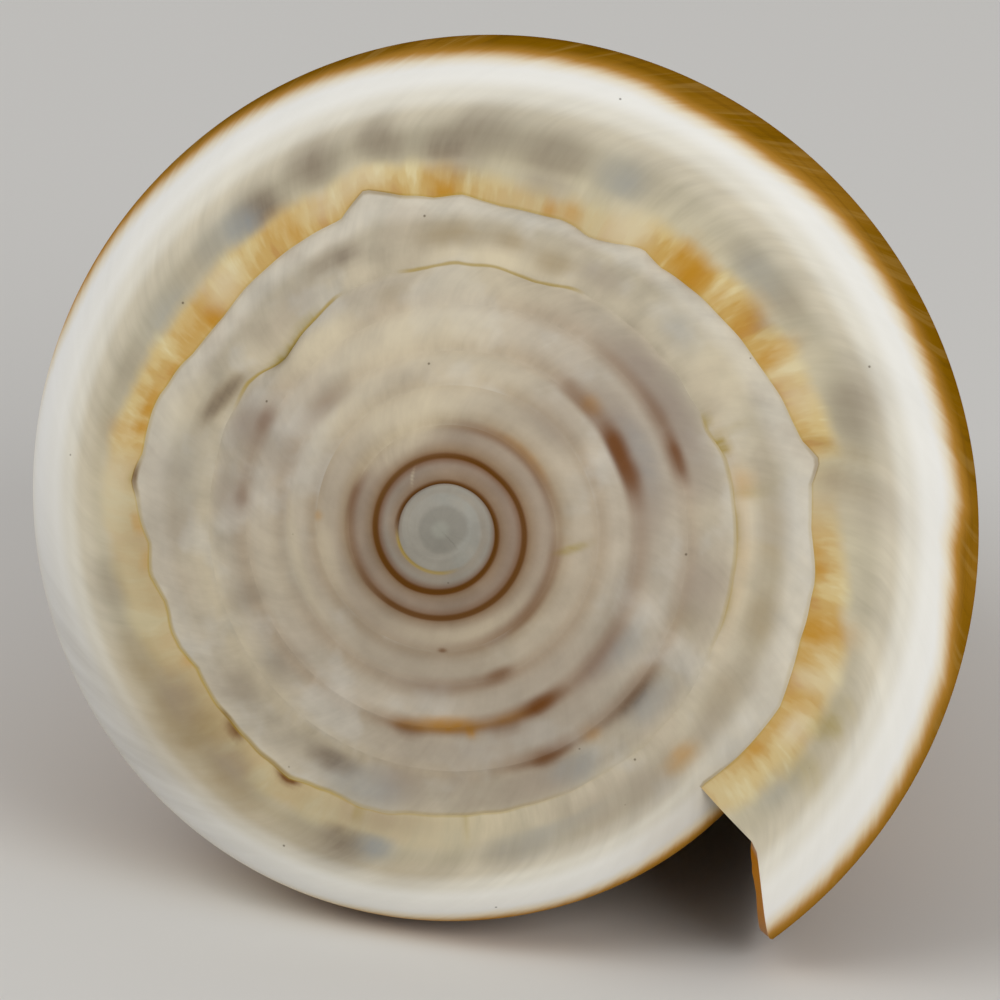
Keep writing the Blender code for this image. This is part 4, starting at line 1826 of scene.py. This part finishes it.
@dataclass(frozen=True)
class Lamp:
    """A square soft light that faces the shell.

    Attributes:
        name: Its name.
        place: Where it stands, in metres.
        size: The length of its side.
        power: Its power in watts.
    """

    name: str
    place: tuple[float, float, float]
    size: float
    power: float

    def light(self) -> None:
        """Makes the light."""
        data = bpy.data.lights.new(self.name, "AREA")
        data.shape = "SQUARE"
        data.size = self.size
        data.energy = self.power
        light = show(self.name, data)
        light.location = self.place
        light.rotation_euler = (-Vector(self.place)).to_track_quat("-Z", "Y").to_euler()


@dataclass(frozen=True)
class Studio:
    """The floor, the soft lights and the camera, all placed from the shell.

    Attributes:
        tilt: How far the camera looks past the shell's axis.
        tilt_towards: Which way, round the axis.
        distance: How far away it is.
        field_width: How wide its view is at the shell.
        aim: How far the view's middle is from the apex, to the right and up.
        sensor: The camera's sensor width, in millimetres.
        floor_size: The length of the floor's side.
        floor: The floor's colour.
        lamps: The lights.
        sky: The pale surroundings' colour.
        sky_strength: How bright they are.
    """

    tilt: float = math.radians(9.3)
    tilt_towards: float = math.radians(24.0)
    distance: float = 0.5
    field_width: float = 26.64 * MM
    aim: tuple[float, float] = (1.6 * MM, 0.8 * MM)
    sensor: float = 36.0
    floor_size: float = 3.0
    floor: Paint = paint(222, 220, 215)
    lamps: tuple[Lamp, ...] = (
        Lamp("key", (0.45, -0.5, 0.28), 0.45, 2.2),
        Lamp("fill", (-0.45, -0.4, 0.5), 0.5, 1.7),
    )
    sky: Paint = (0.98, 0.98, 1.0, 1.0)
    sky_strength: float = 0.45

    def add_floor(self) -> bpy.types.Object:
        """Makes the plain pale floor.

        Returns:
            The floor's object.
        """
        mesh = bmesh.new()
        bmesh.ops.create_grid(mesh, x_segments=1, y_segments=1, size=self.floor_size / 2.0)
        data = bpy.data.meshes.new("floor")
        mesh.to_mesh(data)
        mesh.free()
        material = bpy.data.materials.new("floor")
        material.use_nodes = True
        shader = material.node_tree.nodes["Principled BSDF"]
        shader.inputs["Base Color"].default_value = self.floor
        shader.inputs["Roughness"].default_value = 0.9
        data.materials.append(material)
        return show("floor", data)

    def add_camera(self, to_frame: Matrix) -> bpy.types.Object:
        """Makes the camera, which looks nearly along the shell's axis at the spire.

        Args:
            to_frame: The matrix from the shell's own axes to the frame.

        Returns:
            The camera's object.
        """
        back = Vector((math.sin(self.tilt) * math.cos(self.tilt_towards),
                       math.sin(self.tilt) * math.sin(self.tilt_towards),
                       math.cos(self.tilt)))
        up = (Vector((0.0, 1.0, 0.0)) - back * back.y).normalized()
        right = up.cross(back)
        place = right * self.aim[0] + up * self.aim[1] + back * self.distance
        pose = Matrix.Translation(place) @ Matrix((right, up, back)).transposed().to_4x4()
        turn_only = to_frame.to_quaternion().to_matrix().to_4x4()
        data = bpy.data.cameras.new("camera")
        data.sensor_width = self.sensor
        data.lens = self.sensor * self.distance / self.field_width
        data.clip_start = 0.01
        camera = show("camera", data)
        camera.matrix_world = Matrix.Translation(to_frame.translation) @ turn_only @ pose
        bpy.context.scene.camera = camera
        return camera

    def add_lights(self) -> None:
        """Makes the studio's soft lights and its pale surroundings."""
        for lamp in self.lamps:
            lamp.light()
        world = bpy.data.worlds.new("studio")
        world.use_nodes = True
        background = world.node_tree.nodes["Background"]
        background.inputs["Color"].default_value = self.sky
        background.inputs["Strength"].default_value = self.sky_strength
        bpy.context.scene.world = world
        bpy.context.scene.view_settings.view_transform = "Standard"


def main() -> None:
    """Builds the shell, dresses it and sets up the studio."""
    logging.basicConfig(level=logging.INFO, format="%(name)s: %(message)s")
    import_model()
    piece = ShellPiece(Growth())
    shell, to_frame = piece.build()
    LOG.info("shell: %d faces", len(shell.data.polygons))
    dress(shell, piece.growth)
    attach(shell, "root")
    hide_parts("shell")
    studio = Studio()
    studio.add_floor()
    studio.add_camera(to_frame)
    studio.add_lights()


if __name__ == "__main__":
    main()
